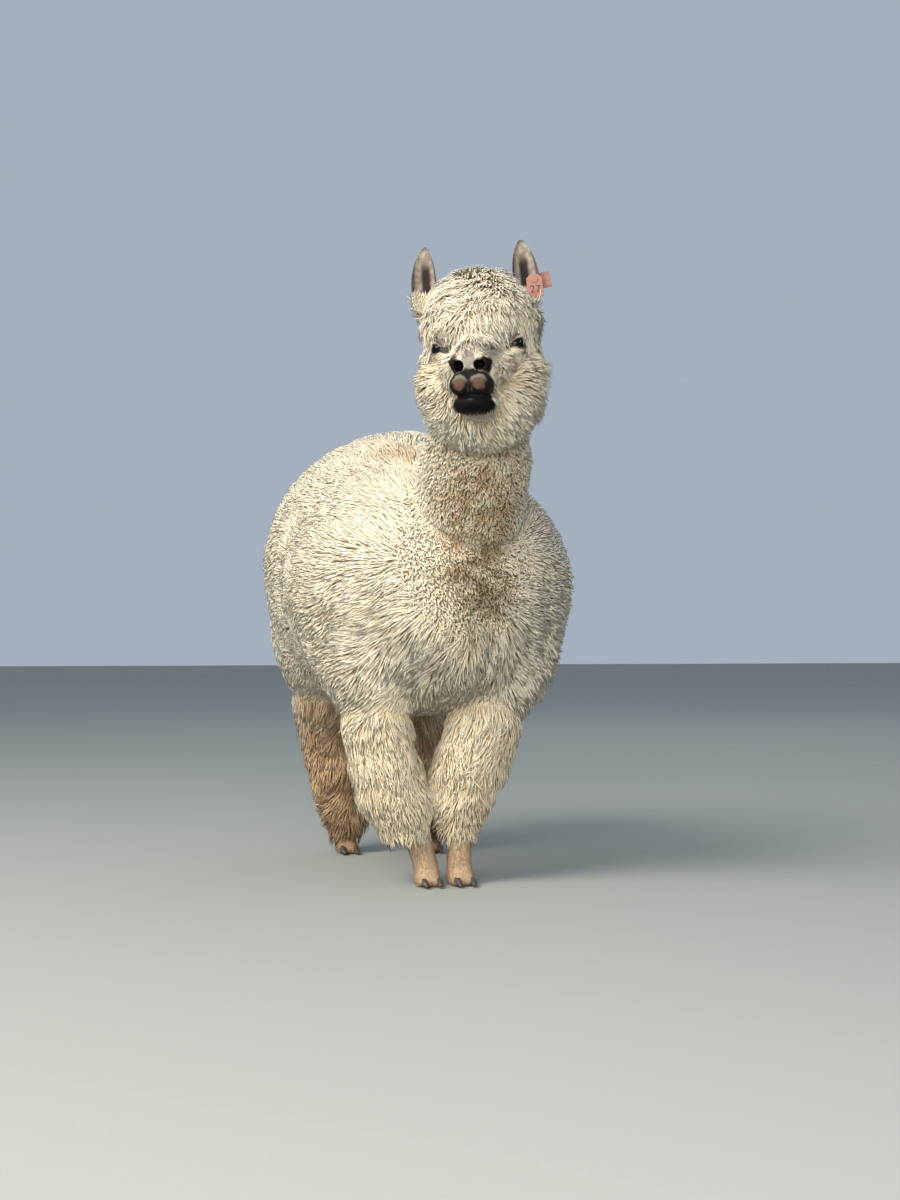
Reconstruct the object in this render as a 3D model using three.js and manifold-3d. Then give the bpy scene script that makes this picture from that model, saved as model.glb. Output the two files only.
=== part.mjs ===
// A huacaya alpaca in full fleece, standing still, at life size.
// The solids are the outer form of the coat. Millimetres, +Z up; the animal faces -Y, and +X is its left.
// Each piece is a sphere whose points are pushed out, along rays from a line inside it, to a soft union of
// ellipsoids and tapered rods. Neighbours are then parted by thin cuts.
import * as THREE from "three";
import { mergeVertices } from "three/addons/utils/BufferGeometryUtils.js";
import Module from "manifold-3d";

const wasm = await Module();
wasm.setup();

// ---- Driving dimensions ----

const BACK = 918; // top of the fleece along the back
const BELLY = 334; // underside of the fleece
const HALF_WIDTH = 296; // of the barrel
const RUMP = 462; // from the trunk's middle to the rump
const KNEE = 205; // height of the cut between the upper and the lower leg
const EAR = { length: 133, width: 25, thick: 4.5, cup: 11 }; // width and thick are halves
const EYE = 17.5; // radius
const TAG = { width: 29, length: 42, thick: 1.8, corner: 7, pin: 2.4, boss: 6.5 };
const GAP = 0.5; // clearance left by every cut

// The head's frame: its origin lies midway between the eyes, and it is turned to the animal's right.
const HEAD = { at: [-15, -594, 994], yaw: -22, roll: -3.2 };

// Feet on the floor, and the middle line of each leg's fleece from top to cuff: x, y, height and radius.
// The forefeet stand close together, and the fleece hangs straight down outside the fetlock.
const LEGS = {
  front_right: {
    foot: [-31, -272],
    fetlock: 96,
    fleece: [[-130, -250, 410, 88], [-125, -262, 290, 65], [-98, -264, 186, 69], [-74, -266, 138, 60]],
  },
  front_left: {
    foot: [35, -274],
    fetlock: 96,
    fleece: [[108, -250, 410, 88], [87, -262, 300, 74], [50, -264, 200, 69], [38, -266, 142, 50]],
  },
  hind_right: {
    foot: [-72, 296],
    fetlock: 40,
    fleece: [[-122, 258, 410, 96], [-108, 306, 262, 64], [-90, 300, 170, 59], [-72, 298, 84, 50]],
  },
  hind_left: {
    foot: [112, 268],
    fetlock: 40,
    fleece: [[130, 246, 410, 96], [137, 284, 262, 63], [124, 276, 170, 58], [112, 270, 84, 49]],
  },
};

const COLOURS = {
  fleece: 0xd9cbb2,
  muzzle: 0x3a2f2b,
  ear: 0x8f8072,
  eye: 0x14100e,
  leg: 0xc3a280,
  foot: 0xa9876b,
  nail: 0x2c2622,
  tag: 0xc4604a,
};

// ---- Soft forms: each is a function of a point, negative inside ----

const vector = (xyz) => new THREE.Vector3(...xyz);

// An ellipsoid about a centre, with its three radii.
function ball(centre, radii) {
  const [cx, cy, cz] = centre;
  const [rx, ry, rz] = radii;
  return (p) => {
    const x = p.x - cx;
    const y = p.y - cy;
    const z = p.z - cz;
    const near = Math.hypot(x / rx, y / ry, z / rz);
    const slope = Math.hypot(x / (rx * rx), y / (ry * ry), z / (rz * rz));
    return slope < 1e-9 ? -Math.min(rx, ry, rz) : (near * (near - 1)) / slope;
  };
}

// A rod from one point to another, whose radius changes evenly along it.
function rod(from, to, startRadius, endRadius) {
  const start = vector(from);
  const along = vector(to).sub(start);
  const length2 = along.lengthSq();
  const offset = new THREE.Vector3();
  return (p) => {
    offset.subVectors(p, start);
    const share = THREE.MathUtils.clamp(offset.dot(along) / length2, 0, 1);
    const radius = THREE.MathUtils.lerp(startRadius, endRadius, share);
    return offset.addScaledVector(along, -share).length() - radius;
  };
}

// The union of forms, with every crease filled to this softness.
function blend(softness, ...forms) {
  return (p) =>
    forms.reduce((nearest, form) => {
      const other = form(p);
      const overlap = Math.max(softness - Math.abs(nearest - other), 0) / softness;
      return Math.min(nearest, other) - (overlap * overlap * softness) / 4;
    }, 1e6);
}

// A form with hollows taken out of it, their rims rounded to this softness.
function hollow(softness, form, ...hollows) {
  const filled = blend(softness, ...hollows);
  return (p) => {
    const outside = form(p);
    const inside = -filled(p);
    const overlap = Math.max(softness - Math.abs(outside - inside), 0) / softness;
    return Math.max(outside, inside) + (overlap * overlap * softness) / 4;
  };
}

// Left and right copies of forms that are written for the left side.
const pair = (make) => [1, -1].map((side) => make(side));

// ---- From forms to solids ----

// How far a ray runs from a point inside a form to its surface.
function reach(form, origin, ray, grow) {
  const p = new THREE.Vector3();
  const depthAt = (far) => form(p.copy(origin).addScaledVector(ray, far)) - grow;
  let inside = 0;
  let step = Math.max(-depthAt(0) * 0.9, 1);
  while (depthAt(inside + step) < 0 && inside < 2000) {
    inside += step;
    step = Math.max(-depthAt(inside) * 0.9, 1);
  }
  let outside = inside + step;
  for (let i = 0; i < 24; i++) {
    const middle = (inside + outside) / 2;
    if (depthAt(middle) < 0) inside = middle;
    else outside = middle;
  }
  return outside;
}

// A sphere's points are sent out from a line, the poles along its ends and the rest around it.
function shell(form, line, around, along, grow = 0) {
  const curve = new THREE.CatmullRomCurve3(line.map(vector));
  const geometry = new THREE.SphereGeometry(1, around, along);
  const points = geometry.getAttribute("position");
  const origin = new THREE.Vector3();
  const forward = new THREE.Vector3();
  const side = new THREE.Vector3();
  const up = new THREE.Vector3();
  const ray = new THREE.Vector3();
  for (let i = 0; i < points.count; i++) {
    const share = (1 - points.getY(i)) / 2;
    curve.getPoint(share, origin);
    curve.getTangent(share, forward);
    side.set(1, 0, 0).addScaledVector(forward, -forward.x).normalize();
    up.crossVectors(forward, side);
    ray.set(0, 0, 0).addScaledVector(side, points.getX(i));
    ray.addScaledVector(forward, -points.getY(i)).addScaledVector(up, points.getZ(i));
    ray.normalize();
    origin.addScaledVector(ray, reach(form, origin, ray, grow));
    points.setXYZ(i, origin.x, origin.y, origin.z);
  }
  return solid(geometry);
}

// A three.js geometry as a closed solid.
function solid(geometry) {
  geometry.deleteAttribute("normal");
  geometry.deleteAttribute("uv");
  const closed = mergeVertices(geometry, 1e-3);
  const corners = [...closed.index.array];
  const kept = [];
  for (let i = 0; i < corners.length; i += 3) {
    const [a, b, c] = corners.slice(i, i + 3);
    if (a !== b && b !== c && a !== c) kept.push(a, b, c);
  }
  const vertProperties = closed.getAttribute("position").array;
  return new wasm.Manifold(new wasm.Mesh({ numProp: 3, vertProperties, triVerts: new Uint32Array(kept) }));
}

// The largest body of a solid, without the slivers that a cut can leave.
function largest(piece) {
  const bodies = piece.decompose();
  return bodies.reduce((most, body) => (body.volume() > most.volume() ? body : most));
}

// A solid as a named mesh.
function mesh(name, piece, colour, roughness = 0.9) {
  const made = largest(piece).getMesh();
  const geometry = new THREE.BufferGeometry();
  geometry.setAttribute("position", new THREE.BufferAttribute(made.vertProperties, 3));
  geometry.setIndex(new THREE.BufferAttribute(made.triVerts, 1));
  geometry.computeVertexNormals();
  const material = new THREE.MeshStandardMaterial({ color: colour, roughness, metalness: 0 });
  const named = new THREE.Mesh(geometry, material);
  named.name = name;
  return named;
}

// ---- Trunk and tail ----

const middle = (BACK + BELLY) / 2;
const halfDepth = (BACK - BELLY) / 2;

const trunkForm = blend(
  46,
  ball([0, 50, middle + 2], [HALF_WIDTH - 6, 340, halfDepth - 4]),
  ball([2, -164, middle - 44], [HALF_WIDTH - 6, 268, halfDepth - 34]),
  ball([0, 226, middle + 4], [HALF_WIDTH - 38, RUMP - 232, halfDepth - 8]),
  ...pair((side) => ball([side * 138, 236, BELLY + 142], [104, 152, 132])),
  ...pair((side) => ball([side * 128 + 2, -238, BELLY + 106], [110, 116, 126])),
  ball([4, -320, middle - 78], [150, 118, 165]),
);
const trunkLine = [
  [0, -180, middle - 30],
  [0, 20, middle - 10],
  [0, 220, middle - 10],
];
const trunkShell = (grow) => shell(trunkForm, trunkLine, 38, 23, grow);
const trunk = trunkShell(0);
const trunkCutter = trunkShell(GAP);

const tailForm = blend(
  26,
  ball([0, 432, 772], [66, 58, 66]),
  rod([0, 446, 752], [3, 478, 640], 58, 54),
  rod([3, 478, 640], [6, 470, 556], 54, 18),
);
const tailLine = [
  [0, 434, 785],
  [2, 468, 660],
  [6, 470, 568],
];
const tail = shell(tailForm, tailLine, 12, 8).subtract(trunkCutter);

// ---- Head ----

const headAxes = new THREE.Matrix4()
  .makeTranslation(...HEAD.at)
  .multiply(new THREE.Matrix4().makeRotationZ(THREE.MathUtils.degToRad(HEAD.yaw)))
  .multiply(new THREE.Matrix4().makeRotationY(THREE.MathUtils.degToRad(HEAD.roll)));
const intoHead = headAxes.clone().invert();

// Eyes look out and a little forward, under the overhang of the topknot.
const eyeCentre = (side) => [side * 66, -15, 0];
const eyeBall = (side, grow) => {
  const geometry = new THREE.SphereGeometry(EYE + grow, 12, 7);
  geometry.translate(...eyeCentre(side));
  return solid(geometry);
};

const crown = ball([0, 58, 58], [112, 98, 99]);
const forelock = ball([0, -8, 58], [76, 54, 42]);
const cheeks = pair((side) => ball([side * 56, 28, -60], [62, 76, 88]));
const ruff = ball([0, 38, -110], [94, 74, 68]);
const nape = ball([0, 66, -28], [98, 82, 92]);
const face = rod([0, -8, -14], [0, -94, -60], 52, 38);
const sockets = pair((side) => rod([side * 71, -20, -1], [side * 104, -68, -14], 17, 27));
const headForm = hollow(10, blend(24, crown, forelock, nape, ...cheeks, ruff, face), ...sockets);
const headLine = [
  [0, 36, 50],
  [0, 16, -20],
  [0, 20, -90],
];

// The muzzle: bridge, nose pad, two lobes of the split upper lip, and the nostrils.
const bridge = rod([0, -50, -10], [0, -104, -42], 33, 25);
const nosePad = ball([0, -114, -44], [30, 24, 25]);
const lipSides = ball([0, -96, -78], [39, 44, 30]);
const lobes = pair((side) => ball([side * 17, -122, -80], [19.5, 22, 21]));
const nostrils = pair((side) => rod([side * 11, -142, -52], [side * 27, -132, -45], 5, 7.5));
const philtrum = rod([0, -152, -62], [0, -150, -104], 5, 6);
const muzzleForm = hollow(5, blend(9, bridge, nosePad, lipSides, ...lobes), ...nostrils, philtrum);
const muzzleLine = [
  [0, -62, -44],
  [0, -84, -62],
  [0, -104, -72],
];
const jawForm = blend(12, ball([0, -98, -114], [32, 38, 19]), rod([0, -84, -110], [0, -30, -96], 24, 30));
const jawLine = [
  [0, -50, -104],
  [0, -78, -110],
  [0, -104, -113],
];

// The lips meet on a plane, which faces down and a little back.
const mouthNormal = vector([0, 0.2, -1]).normalize();
const MOUTH = 74; // from the head's origin

const muzzleShell = (grow) => shell(muzzleForm, muzzleLine, 20, 15, grow);
const jawShell = (grow) => shell(jawForm, jawLine, 12, 8, grow);
const headShell = (grow) => shell(headForm, headLine, 25, 17, grow);

// ---- Ears ----

// A leaf-shaped sheet, cupped to the front: width along X, the hollow towards -Y, its tip along Z.
function earSolid() {
  const geometry = new THREE.SphereGeometry(1, 14, 12);
  const points = geometry.getAttribute("position");
  for (let i = 0; i < points.count; i++) {
    const share = (1 + points.getY(i)) / 2;
    const taper = Math.pow(Math.max(1 - share, 0), 0.22) * (1.12 - 0.12 * share);
    const across = points.getX(i) * taper;
    const through = points.getZ(i) * EAR.thick * (1.25 - 0.7 * share);
    const bend = -EAR.cup * across * across + 10 * share * share;
    points.setXYZ(i, -across * EAR.width, bend + through, share * EAR.length);
  }
  return solid(geometry);
}

// The left ear leans in a little and the right one out.
const EAR_SET = { left: { out: 89, lean: -4 }, right: { out: 97, lean: 1 } };

const earAxes = (side) => {
  const { out, lean } = side > 0 ? EAR_SET.left : EAR_SET.right;
  return new THREE.Matrix4()
    .makeTranslation(side * out, 68, 77)
    .multiply(new THREE.Matrix4().makeRotationY(THREE.MathUtils.degToRad(side * lean)))
    .multiply(new THREE.Matrix4().makeRotationX(THREE.MathUtils.degToRad(-4)))
    .multiply(new THREE.Matrix4().makeRotationZ(THREE.MathUtils.degToRad(side * 10)));
};

// ---- Ear tag: two flaps on a pin through the outer half of the left ear ----

// The front flap hangs down; the back one has swung round the pin, to point outwards.
const tagPin = { across: 14, up: 50, front: -14.5, back: 9, swing: -98 };

// A flap hung from the pin, its top corners cut; its front face lies this far along Y.
function tagFlap(front, grow = 0) {
  const half = TAG.width / 2 + grow;
  const top = 9 + grow;
  const outline = new THREE.Shape();
  outline.moveTo(-half, top - TAG.length - 2 * grow);
  outline.lineTo(half, top - TAG.length - 2 * grow);
  outline.lineTo(half, top - TAG.corner);
  outline.lineTo(half - TAG.corner, top);
  outline.lineTo(TAG.corner - half, top);
  outline.lineTo(-half, top - TAG.corner);
  outline.closePath();
  const plate = new THREE.ExtrudeGeometry(outline, { depth: TAG.thick + 2 * grow, bevelEnabled: false });
  plate.rotateX(Math.PI / 2);
  plate.translate(0, front + TAG.thick + grow, 0);
  return solid(plate);
}

// A round rod along Y from one place to another.
function tagRod(radius, from, to) {
  const geometry = new THREE.CylinderGeometry(radius, radius, to - from, 12);
  geometry.translate(0, (from + to) / 2, 0);
  return solid(geometry);
}

const tagAt = (piece) =>
  piece
    .translate([tagPin.across, 0, tagPin.up])
    .transform(earAxes(1).elements);

const { front: tagFront, back: tagBack } = tagPin;
const swung = (piece) => piece.rotate([0, tagPin.swing, 0]);
const pinCutter = (from, to) => tagRod(TAG.pin + GAP, from, to);
const frontFlap = tagFlap(tagFront)
  .add(tagRod(TAG.boss, tagFront - 1.6, tagFront))
  .add(tagRod(TAG.pin, tagFront, tagBack + 4));
const backFlap = tagFlap(tagBack)
  .add(tagRod(TAG.boss, tagBack, tagBack + 4))
  .subtract(pinCutter(tagBack - 1, tagBack + 5));
const tagCutter = tagFlap(tagFront, 1).add(swung(tagFlap(tagBack, 1))).add(pinCutter(tagFront, tagBack));

// ---- Neck ----

const neckForm = blend(
  44,
  rod([24, -262, 600], [36, -398, 772], 122, 97),
  rod([36, -398, 772], [10, -512, 930], 97, 91),
  ball([16, -250, 760], [92, 122, 112]),
);
const neckLine = [
  [24, -270, 640],
  [36, -396, 770],
  [12, -500, 910],
];
const headCutter = headShell(GAP).transform(headAxes.elements);
const neck = shell(neckForm, neckLine, 18, 9).subtract(trunkCutter).subtract(headCutter);

// ---- Legs ----

// The fleece of a leg: rods from one station of its middle line to the next, ending in a rounded cuff.
function legFleece({ fleece, fetlock }) {
  const rods = fleece.slice(1).map((lower, i) => {
    const upper = fleece[i];
    return rod(upper.slice(0, 3), lower.slice(0, 3), upper[3], lower[3]);
  });
  const [x, y, z, radius] = fleece.at(-1);
  rods.push(ball([x, y, (z + fetlock + radius) / 2], [radius, radius, (z - fetlock + radius) / 2]));
  const line = [fleece[0], fleece[1], [x, y, z + 14]].map((at) => at.slice(0, 3));
  return { form: blend(24, ...rods), line };
}

// The bare part of a leg: pastern and two toes, in a frame whose origin is on the floor under it.
function legFoot(leg, hind) {
  const [x, y] = leg.fleece.at(-1);
  const ankle = [(x - leg.foot[0]) * 0.55, (y - leg.foot[1]) * 0.55, leg.fetlock + 26];
  const toes = pair((side) => ball([side * 14, -26, 12], [14.5, 36, 17]));
  const form = blend(12, rod(ankle, [0, hind ? 2 : -4, 34], hind ? 25 : 27, 25), ...toes);
  return { form, line: [[ankle[0], ankle[1], ankle[2] - 12], [0, -6, 40], [0, -14, 22]] };
}

const aboveFloor = (piece) => piece.trimByPlane([0, 0, 1], 0);

// The fleece of the two forelegs meets in the middle, so each later leg is cut by the earlier ones.
const neighbours = [trunkCutter];

function legPieces(name) {
  const leg = LEGS[name];
  const [x, y] = leg.foot;
  const { form, line } = legFleece(leg);
  const foot = legFoot(leg, name.startsWith("hind"));
  const footShell = (grow) => aboveFloor(shell(foot.form, foot.line, 12, 8, grow)).translate([x, y, 0]);
  const fleeceShell = (grow) => shell(form, line, 14, 11, grow);
  const fleece = neighbours.reduce((rest, cutter) => rest.subtract(cutter), fleeceShell(0));
  const outer = name.endsWith("left") ? 1 : -1;

  const group = new THREE.Group();
  group.add(mesh(`${name}_upper_leg`, fleece.trimByPlane([0, 0, 1], KNEE + GAP / 2), COLOURS.leg));
  group.add(mesh(`${name}_lower_leg`, fleece.trimByPlane([0, 0, -1], -KNEE + GAP / 2), COLOURS.leg));
  group.add(mesh(`${name}_foot`, footShell(0).subtract(fleeceShell(GAP)), COLOURS.foot));
  [outer, -outer].forEach((side, i) => {
    const nailForm = rod([side * 15, -46, 12], [side * 14, -66, 6], 9.5, 4);
    const nail = shell(nailForm, [[side * 15, -48, 12], [side * 14.5, -55, 10], [side * 14, -62, 8]], 6, 5);
    const place = i === 0 ? "outer" : "inner";
    const clear = aboveFloor(nail).translate([x, y, 0]).subtract(footShell(GAP));
    group.add(mesh(`${name}_${place}_nail`, clear, COLOURS.nail, 0.5));
  });
  neighbours.push(fleeceShell(GAP));
  return group;
}

// ---- Assembly ----

function headGroup() {
  const group = new THREE.Group();
  group.applyMatrix4(headAxes);

  const muzzleCutter = muzzleShell(GAP);
  const eyes = pair((side) => eyeBall(side, GAP));
  const ears = pair((side) => earSolid().transform(earAxes(side).elements));
  const skull = headShell(0);
  const jaw = jawShell(0).trimByPlane(mouthNormal.toArray(), MOUTH + GAP);
  const upper = muzzleShell(0).trimByPlane(mouthNormal.clone().negate().toArray(), -MOUTH);
  const jawCutter = jawShell(GAP);
  const bareHead = [muzzleCutter, jawCutter, ...eyes, tagAt(tagCutter)].reduce(
    (rest, cutter) => rest.subtract(cutter),
    skull,
  );

  group.add(mesh("head", bareHead, COLOURS.fleece));
  group.add(mesh("muzzle", upper.subtract(jawCutter), COLOURS.muzzle, 0.6));
  group.add(mesh("lower_jaw", jaw.subtract(muzzleCutter), COLOURS.muzzle, 0.6));
  const skullCutter = headShell(GAP);
  ["left", "right"].forEach((name, i) => {
    group.add(mesh(`eye_${name}`, eyeBall(i === 0 ? 1 : -1, 0), COLOURS.eye, 0.1));
    const ear = ears[i].subtract(skullCutter);
    group.add(mesh(`ear_${name}`, i === 0 ? ear.subtract(tagAt(tagCutter)) : ear, COLOURS.ear));
  });
  group.add(mesh("ear_tag_front", tagAt(frontFlap), COLOURS.tag, 0.5));
  group.add(mesh("ear_tag_back", tagAt(swung(backFlap)), COLOURS.tag, 0.5));
  return group;
}

const alpaca = new THREE.Group();
alpaca.add(mesh("trunk", trunk, COLOURS.fleece));
alpaca.add(mesh("neck", neck, COLOURS.fleece));
alpaca.add(mesh("tail", tail, COLOURS.fleece));
alpaca.add(headGroup());
Object.keys(LEGS).forEach((name) => alpaca.add(legPieces(name)));

// The part's origin is on the floor, under the middle of the whole animal.
const extent = new THREE.Box3().setFromObject(alpaca, true).getCenter(new THREE.Vector3());
alpaca.children.forEach((piece) => piece.position.sub(new THREE.Vector3(extent.x, extent.y, 0)));

export default alpaca;
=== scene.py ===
import math

import bmesh
import bpy
import numpy as np
import openvdb
from mathutils import Matrix, Vector
from mathutils.bvhtree import BVHTree
from mathutils.kdtree import KDTree


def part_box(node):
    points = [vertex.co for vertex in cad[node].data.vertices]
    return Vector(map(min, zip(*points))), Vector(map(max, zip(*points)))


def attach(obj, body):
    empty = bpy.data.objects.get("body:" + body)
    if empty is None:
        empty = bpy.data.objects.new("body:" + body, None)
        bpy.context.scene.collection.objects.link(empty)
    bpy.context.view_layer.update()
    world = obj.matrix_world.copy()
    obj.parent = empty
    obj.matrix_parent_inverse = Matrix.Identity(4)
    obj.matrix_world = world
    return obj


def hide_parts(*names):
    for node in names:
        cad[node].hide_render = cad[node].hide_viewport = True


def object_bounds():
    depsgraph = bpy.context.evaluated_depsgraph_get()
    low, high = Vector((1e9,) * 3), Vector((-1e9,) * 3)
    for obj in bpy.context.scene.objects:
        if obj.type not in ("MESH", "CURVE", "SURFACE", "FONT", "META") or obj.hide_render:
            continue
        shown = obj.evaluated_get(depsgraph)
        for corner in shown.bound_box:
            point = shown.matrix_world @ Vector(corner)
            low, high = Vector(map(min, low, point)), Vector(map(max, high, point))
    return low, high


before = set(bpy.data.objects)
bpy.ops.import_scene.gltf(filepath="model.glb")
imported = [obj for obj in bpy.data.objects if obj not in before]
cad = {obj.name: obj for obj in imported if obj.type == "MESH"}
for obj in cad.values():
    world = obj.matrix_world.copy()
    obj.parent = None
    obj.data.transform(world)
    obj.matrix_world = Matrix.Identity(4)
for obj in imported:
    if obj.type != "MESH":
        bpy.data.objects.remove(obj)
cad_low, cad_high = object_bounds()

# ---- Floor, light and camera ----
# A matt grey floor runs on to the horizon under a pale blue sky. A large warm light hangs high at the
# animal's right front, a weaker one stands before its chest, and a cooler glow lies behind its left hip.

studio = bpy.data.worlds.new("studio")
bpy.context.scene.world = studio
studio.use_nodes = True
sky = studio.node_tree.nodes["Background"]
sky.inputs["Color"].default_value = (0.60, 0.70, 0.82, 1)
sky.inputs["Strength"].default_value = 0.62

FLOOR_REACH = 30
floor_ends = [(x * FLOOR_REACH, y * FLOOR_REACH, 0) for x, y in ((-1, -1), (1, -1), (1, 1), (-1, 1))]
floor_mesh = bpy.data.meshes.new("floor")
floor_mesh.from_pydata(floor_ends, [], [(0, 1, 2, 3)])
floor = bpy.data.objects.new("floor", floor_mesh)
bpy.context.collection.objects.link(floor)
floor_paint = bpy.data.materials.new("pale_floor")
floor_paint.use_nodes = True
floor_shader = floor_paint.node_tree.nodes["Principled BSDF"]
floor_shader.inputs["Base Color"].default_value = (0.32, 0.34, 0.32, 1)
floor_shader.inputs["Roughness"].default_value = 0.9
floor_mesh.materials.append(floor_paint)


def soft_light(name, place, aim, wide, power, colour):
    """A round lamp at a place, turned to aim at a point."""
    data = bpy.data.lights.new(name, "AREA")
    data.shape = "DISK"
    data.size = wide
    data.energy = power
    data.color = colour
    lamp = bpy.data.objects.new(name, data)
    lamp.location = place
    lamp.rotation_euler = (Vector(aim) - Vector(place)).to_track_quat("-Z", "Y").to_euler()
    bpy.context.collection.objects.link(lamp)


soft_light("key", (-3.9, -2.4, 4.3), (0, 0, 0.6), 3.4, 435, (1, 0.93, 0.82))
soft_light("fill", (-1.5, -5.0, 1.5), (0, 0, 0.5), 2.6, 205, (1, 0.96, 0.9))

glow = bpy.data.lights.new("rear", "POINT")
glow.energy = 85
glow.shadow_soft_size = 1.2
glow.color = (0.92, 0.96, 1)
rear_lamp = bpy.data.objects.new("rear", glow)
rear_lamp.location = (2.8, 4.6, 3.6)
bpy.context.collection.objects.link(rear_lamp)

lens = bpy.data.cameras.new("camera")
lens.sensor_width = 36
lens.lens = 54.1
camera = bpy.data.objects.new("camera", lens)
camera.location = (-0.894, -3.572, 0.475)
camera.rotation_euler = (math.radians(91.27), 0, math.radians(-15))
bpy.context.collection.objects.link(camera)
bpy.context.scene.camera = camera

# ---- The head's own axes ----
# The head is turned on the neck, so its forms are given in axes of its own. Their origin lies between the
# eyes; X runs out through the left eye, Y to the back of the skull and Z to the crown.


def middle(node):
    low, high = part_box(node)
    return (np.array(low) + np.array(high)) / 2


EYE_FORWARD = 0.015  # the eyes' centres lie this far in front of the origin
eye_middles = {side: middle(name) for side, name in ((1, "eye_left"), (-1, "eye_right"))}
eye_radius = (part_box("eye_left")[1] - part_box("eye_left")[0]).z / 2
head_x = eye_middles[1] - eye_middles[-1]
eye_out = np.linalg.norm(head_x) / 2
head_x /= np.linalg.norm(head_x)
head_y = np.cross((0, 0, 1), head_x)
head_y /= np.linalg.norm(head_y)
head_z = np.cross(head_x, head_y)
head_turn = np.stack([head_x, head_y, head_z], 1)
head_at = (eye_middles[1] + eye_middles[-1]) / 2 + EYE_FORWARD * head_y


def in_head(points):
    return (points - head_at) @ head_turn


def from_head(points):
    return np.asarray(points) @ head_turn.T + head_at


def fold_over(points):
    """The head's right half laid over its left, so that both are treated alike."""
    return np.abs(points) * [1, 0, 0] + points * [0, 1, 1]


# ---- The bare form of the face ----
# Signed distances in millimetres in the head's axes, negative inside: the skull under short hair, the muzzle
# with its nose pad, split upper lip, nostrils and mouth, and the lids round each eye. Round forms are melted
# into each other, and the openings are carved out of them.


def ramp(values, start, end):
    """0 before the start and 1 past the end, smooth between them."""
    share = np.clip((values - start) / (end - start), 0, 1)
    return share * share * (3 - 2 * share)


def ball(p, centre, radii):
    q = p - np.array(centre)
    near = np.linalg.norm(q / np.array(radii), axis=-1)
    slope = np.linalg.norm(q / np.square(radii), axis=-1)
    return near * (near - 1) / np.maximum(slope, 1e-6)


def rod(p, start, end, start_radius, end_radius):
    a, b = np.array(start, float), np.array(end, float)
    share = np.clip((p - a) @ (b - a) / np.dot(b - a, b - a), 0, 1)
    away = p - a - share[..., None] * (b - a)
    return np.linalg.norm(away, axis=-1) - (start_radius + share * (end_radius - start_radius))


def join(softness, *forms):
    """Forms melted into each other over this many millimetres."""
    made = forms[0]
    for form in forms[1:]:
        lap = np.maximum(softness - np.abs(made - form), 0) / softness
        made = np.minimum(made, form) - lap * lap * softness / 4
    return made


def carve(softness, form, cut):
    """A form with another taken out of it, its edge rounded."""
    return -join(softness, -form, cut)


eye_mm = np.array([1000 * eye_out, -1000 * EYE_FORWARD, 0])
EYE_FACING = {"out": 50, "up": 2}  # degrees from straight ahead
LID = 1.9  # thickness over the eyeball, in millimetres
SLIT = {"half_width": 18.5, "half_height": 8.3, "middle": 0.7, "slant": 0.14, "fullness": 0.72}


def eye_axes(side):
    """The way an eye faces, the way from its outer to its inner corner, and the way up over it."""
    out, up = math.radians(EYE_FACING["out"]), math.radians(EYE_FACING["up"])
    ahead = np.array([side * math.sin(out) * math.cos(up), -math.cos(out) * math.cos(up), math.sin(up)])
    across = np.cross((0, 0, 1), ahead) * -side
    across /= np.linalg.norm(across)
    return ahead, across, np.cross(across, ahead) * side


def lids(p, side):
    """The lids' rounded form with an almond opening, whose inner corner dips towards the nose."""
    ahead, across, above = eye_axes(side)
    q = p - eye_mm * (side, 1, 1)
    far = np.linalg.norm(q, axis=-1)
    radius = 1000 * eye_radius
    turn = np.arctan2(q @ across, q @ ahead) * radius
    lift = np.arcsin(np.clip((q @ above) / np.maximum(far, 1e-6), -1, 1)) * radius + SLIT["slant"] * turn
    open_share = np.clip(1 - (turn / SLIT["half_width"]) ** 2, 0, 1)
    opening = np.abs(lift - SLIT["middle"]) - SLIT["half_height"] * open_share ** SLIT["fullness"]
    opening = np.maximum(opening, np.abs(turn) - SLIT["half_width"])
    opening = np.where(q @ ahead > 0, opening, 30)
    return far - radius - LID, np.maximum(opening, 0.86 * radius - far)


NOSE_TURN = 6.5  # the nose is turned this far to the animal's right
MOUTH_DOWN = np.array([0, 0.196, -0.981])  # square to the closed mouth
MOUTH_LEVEL = 74


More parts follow.
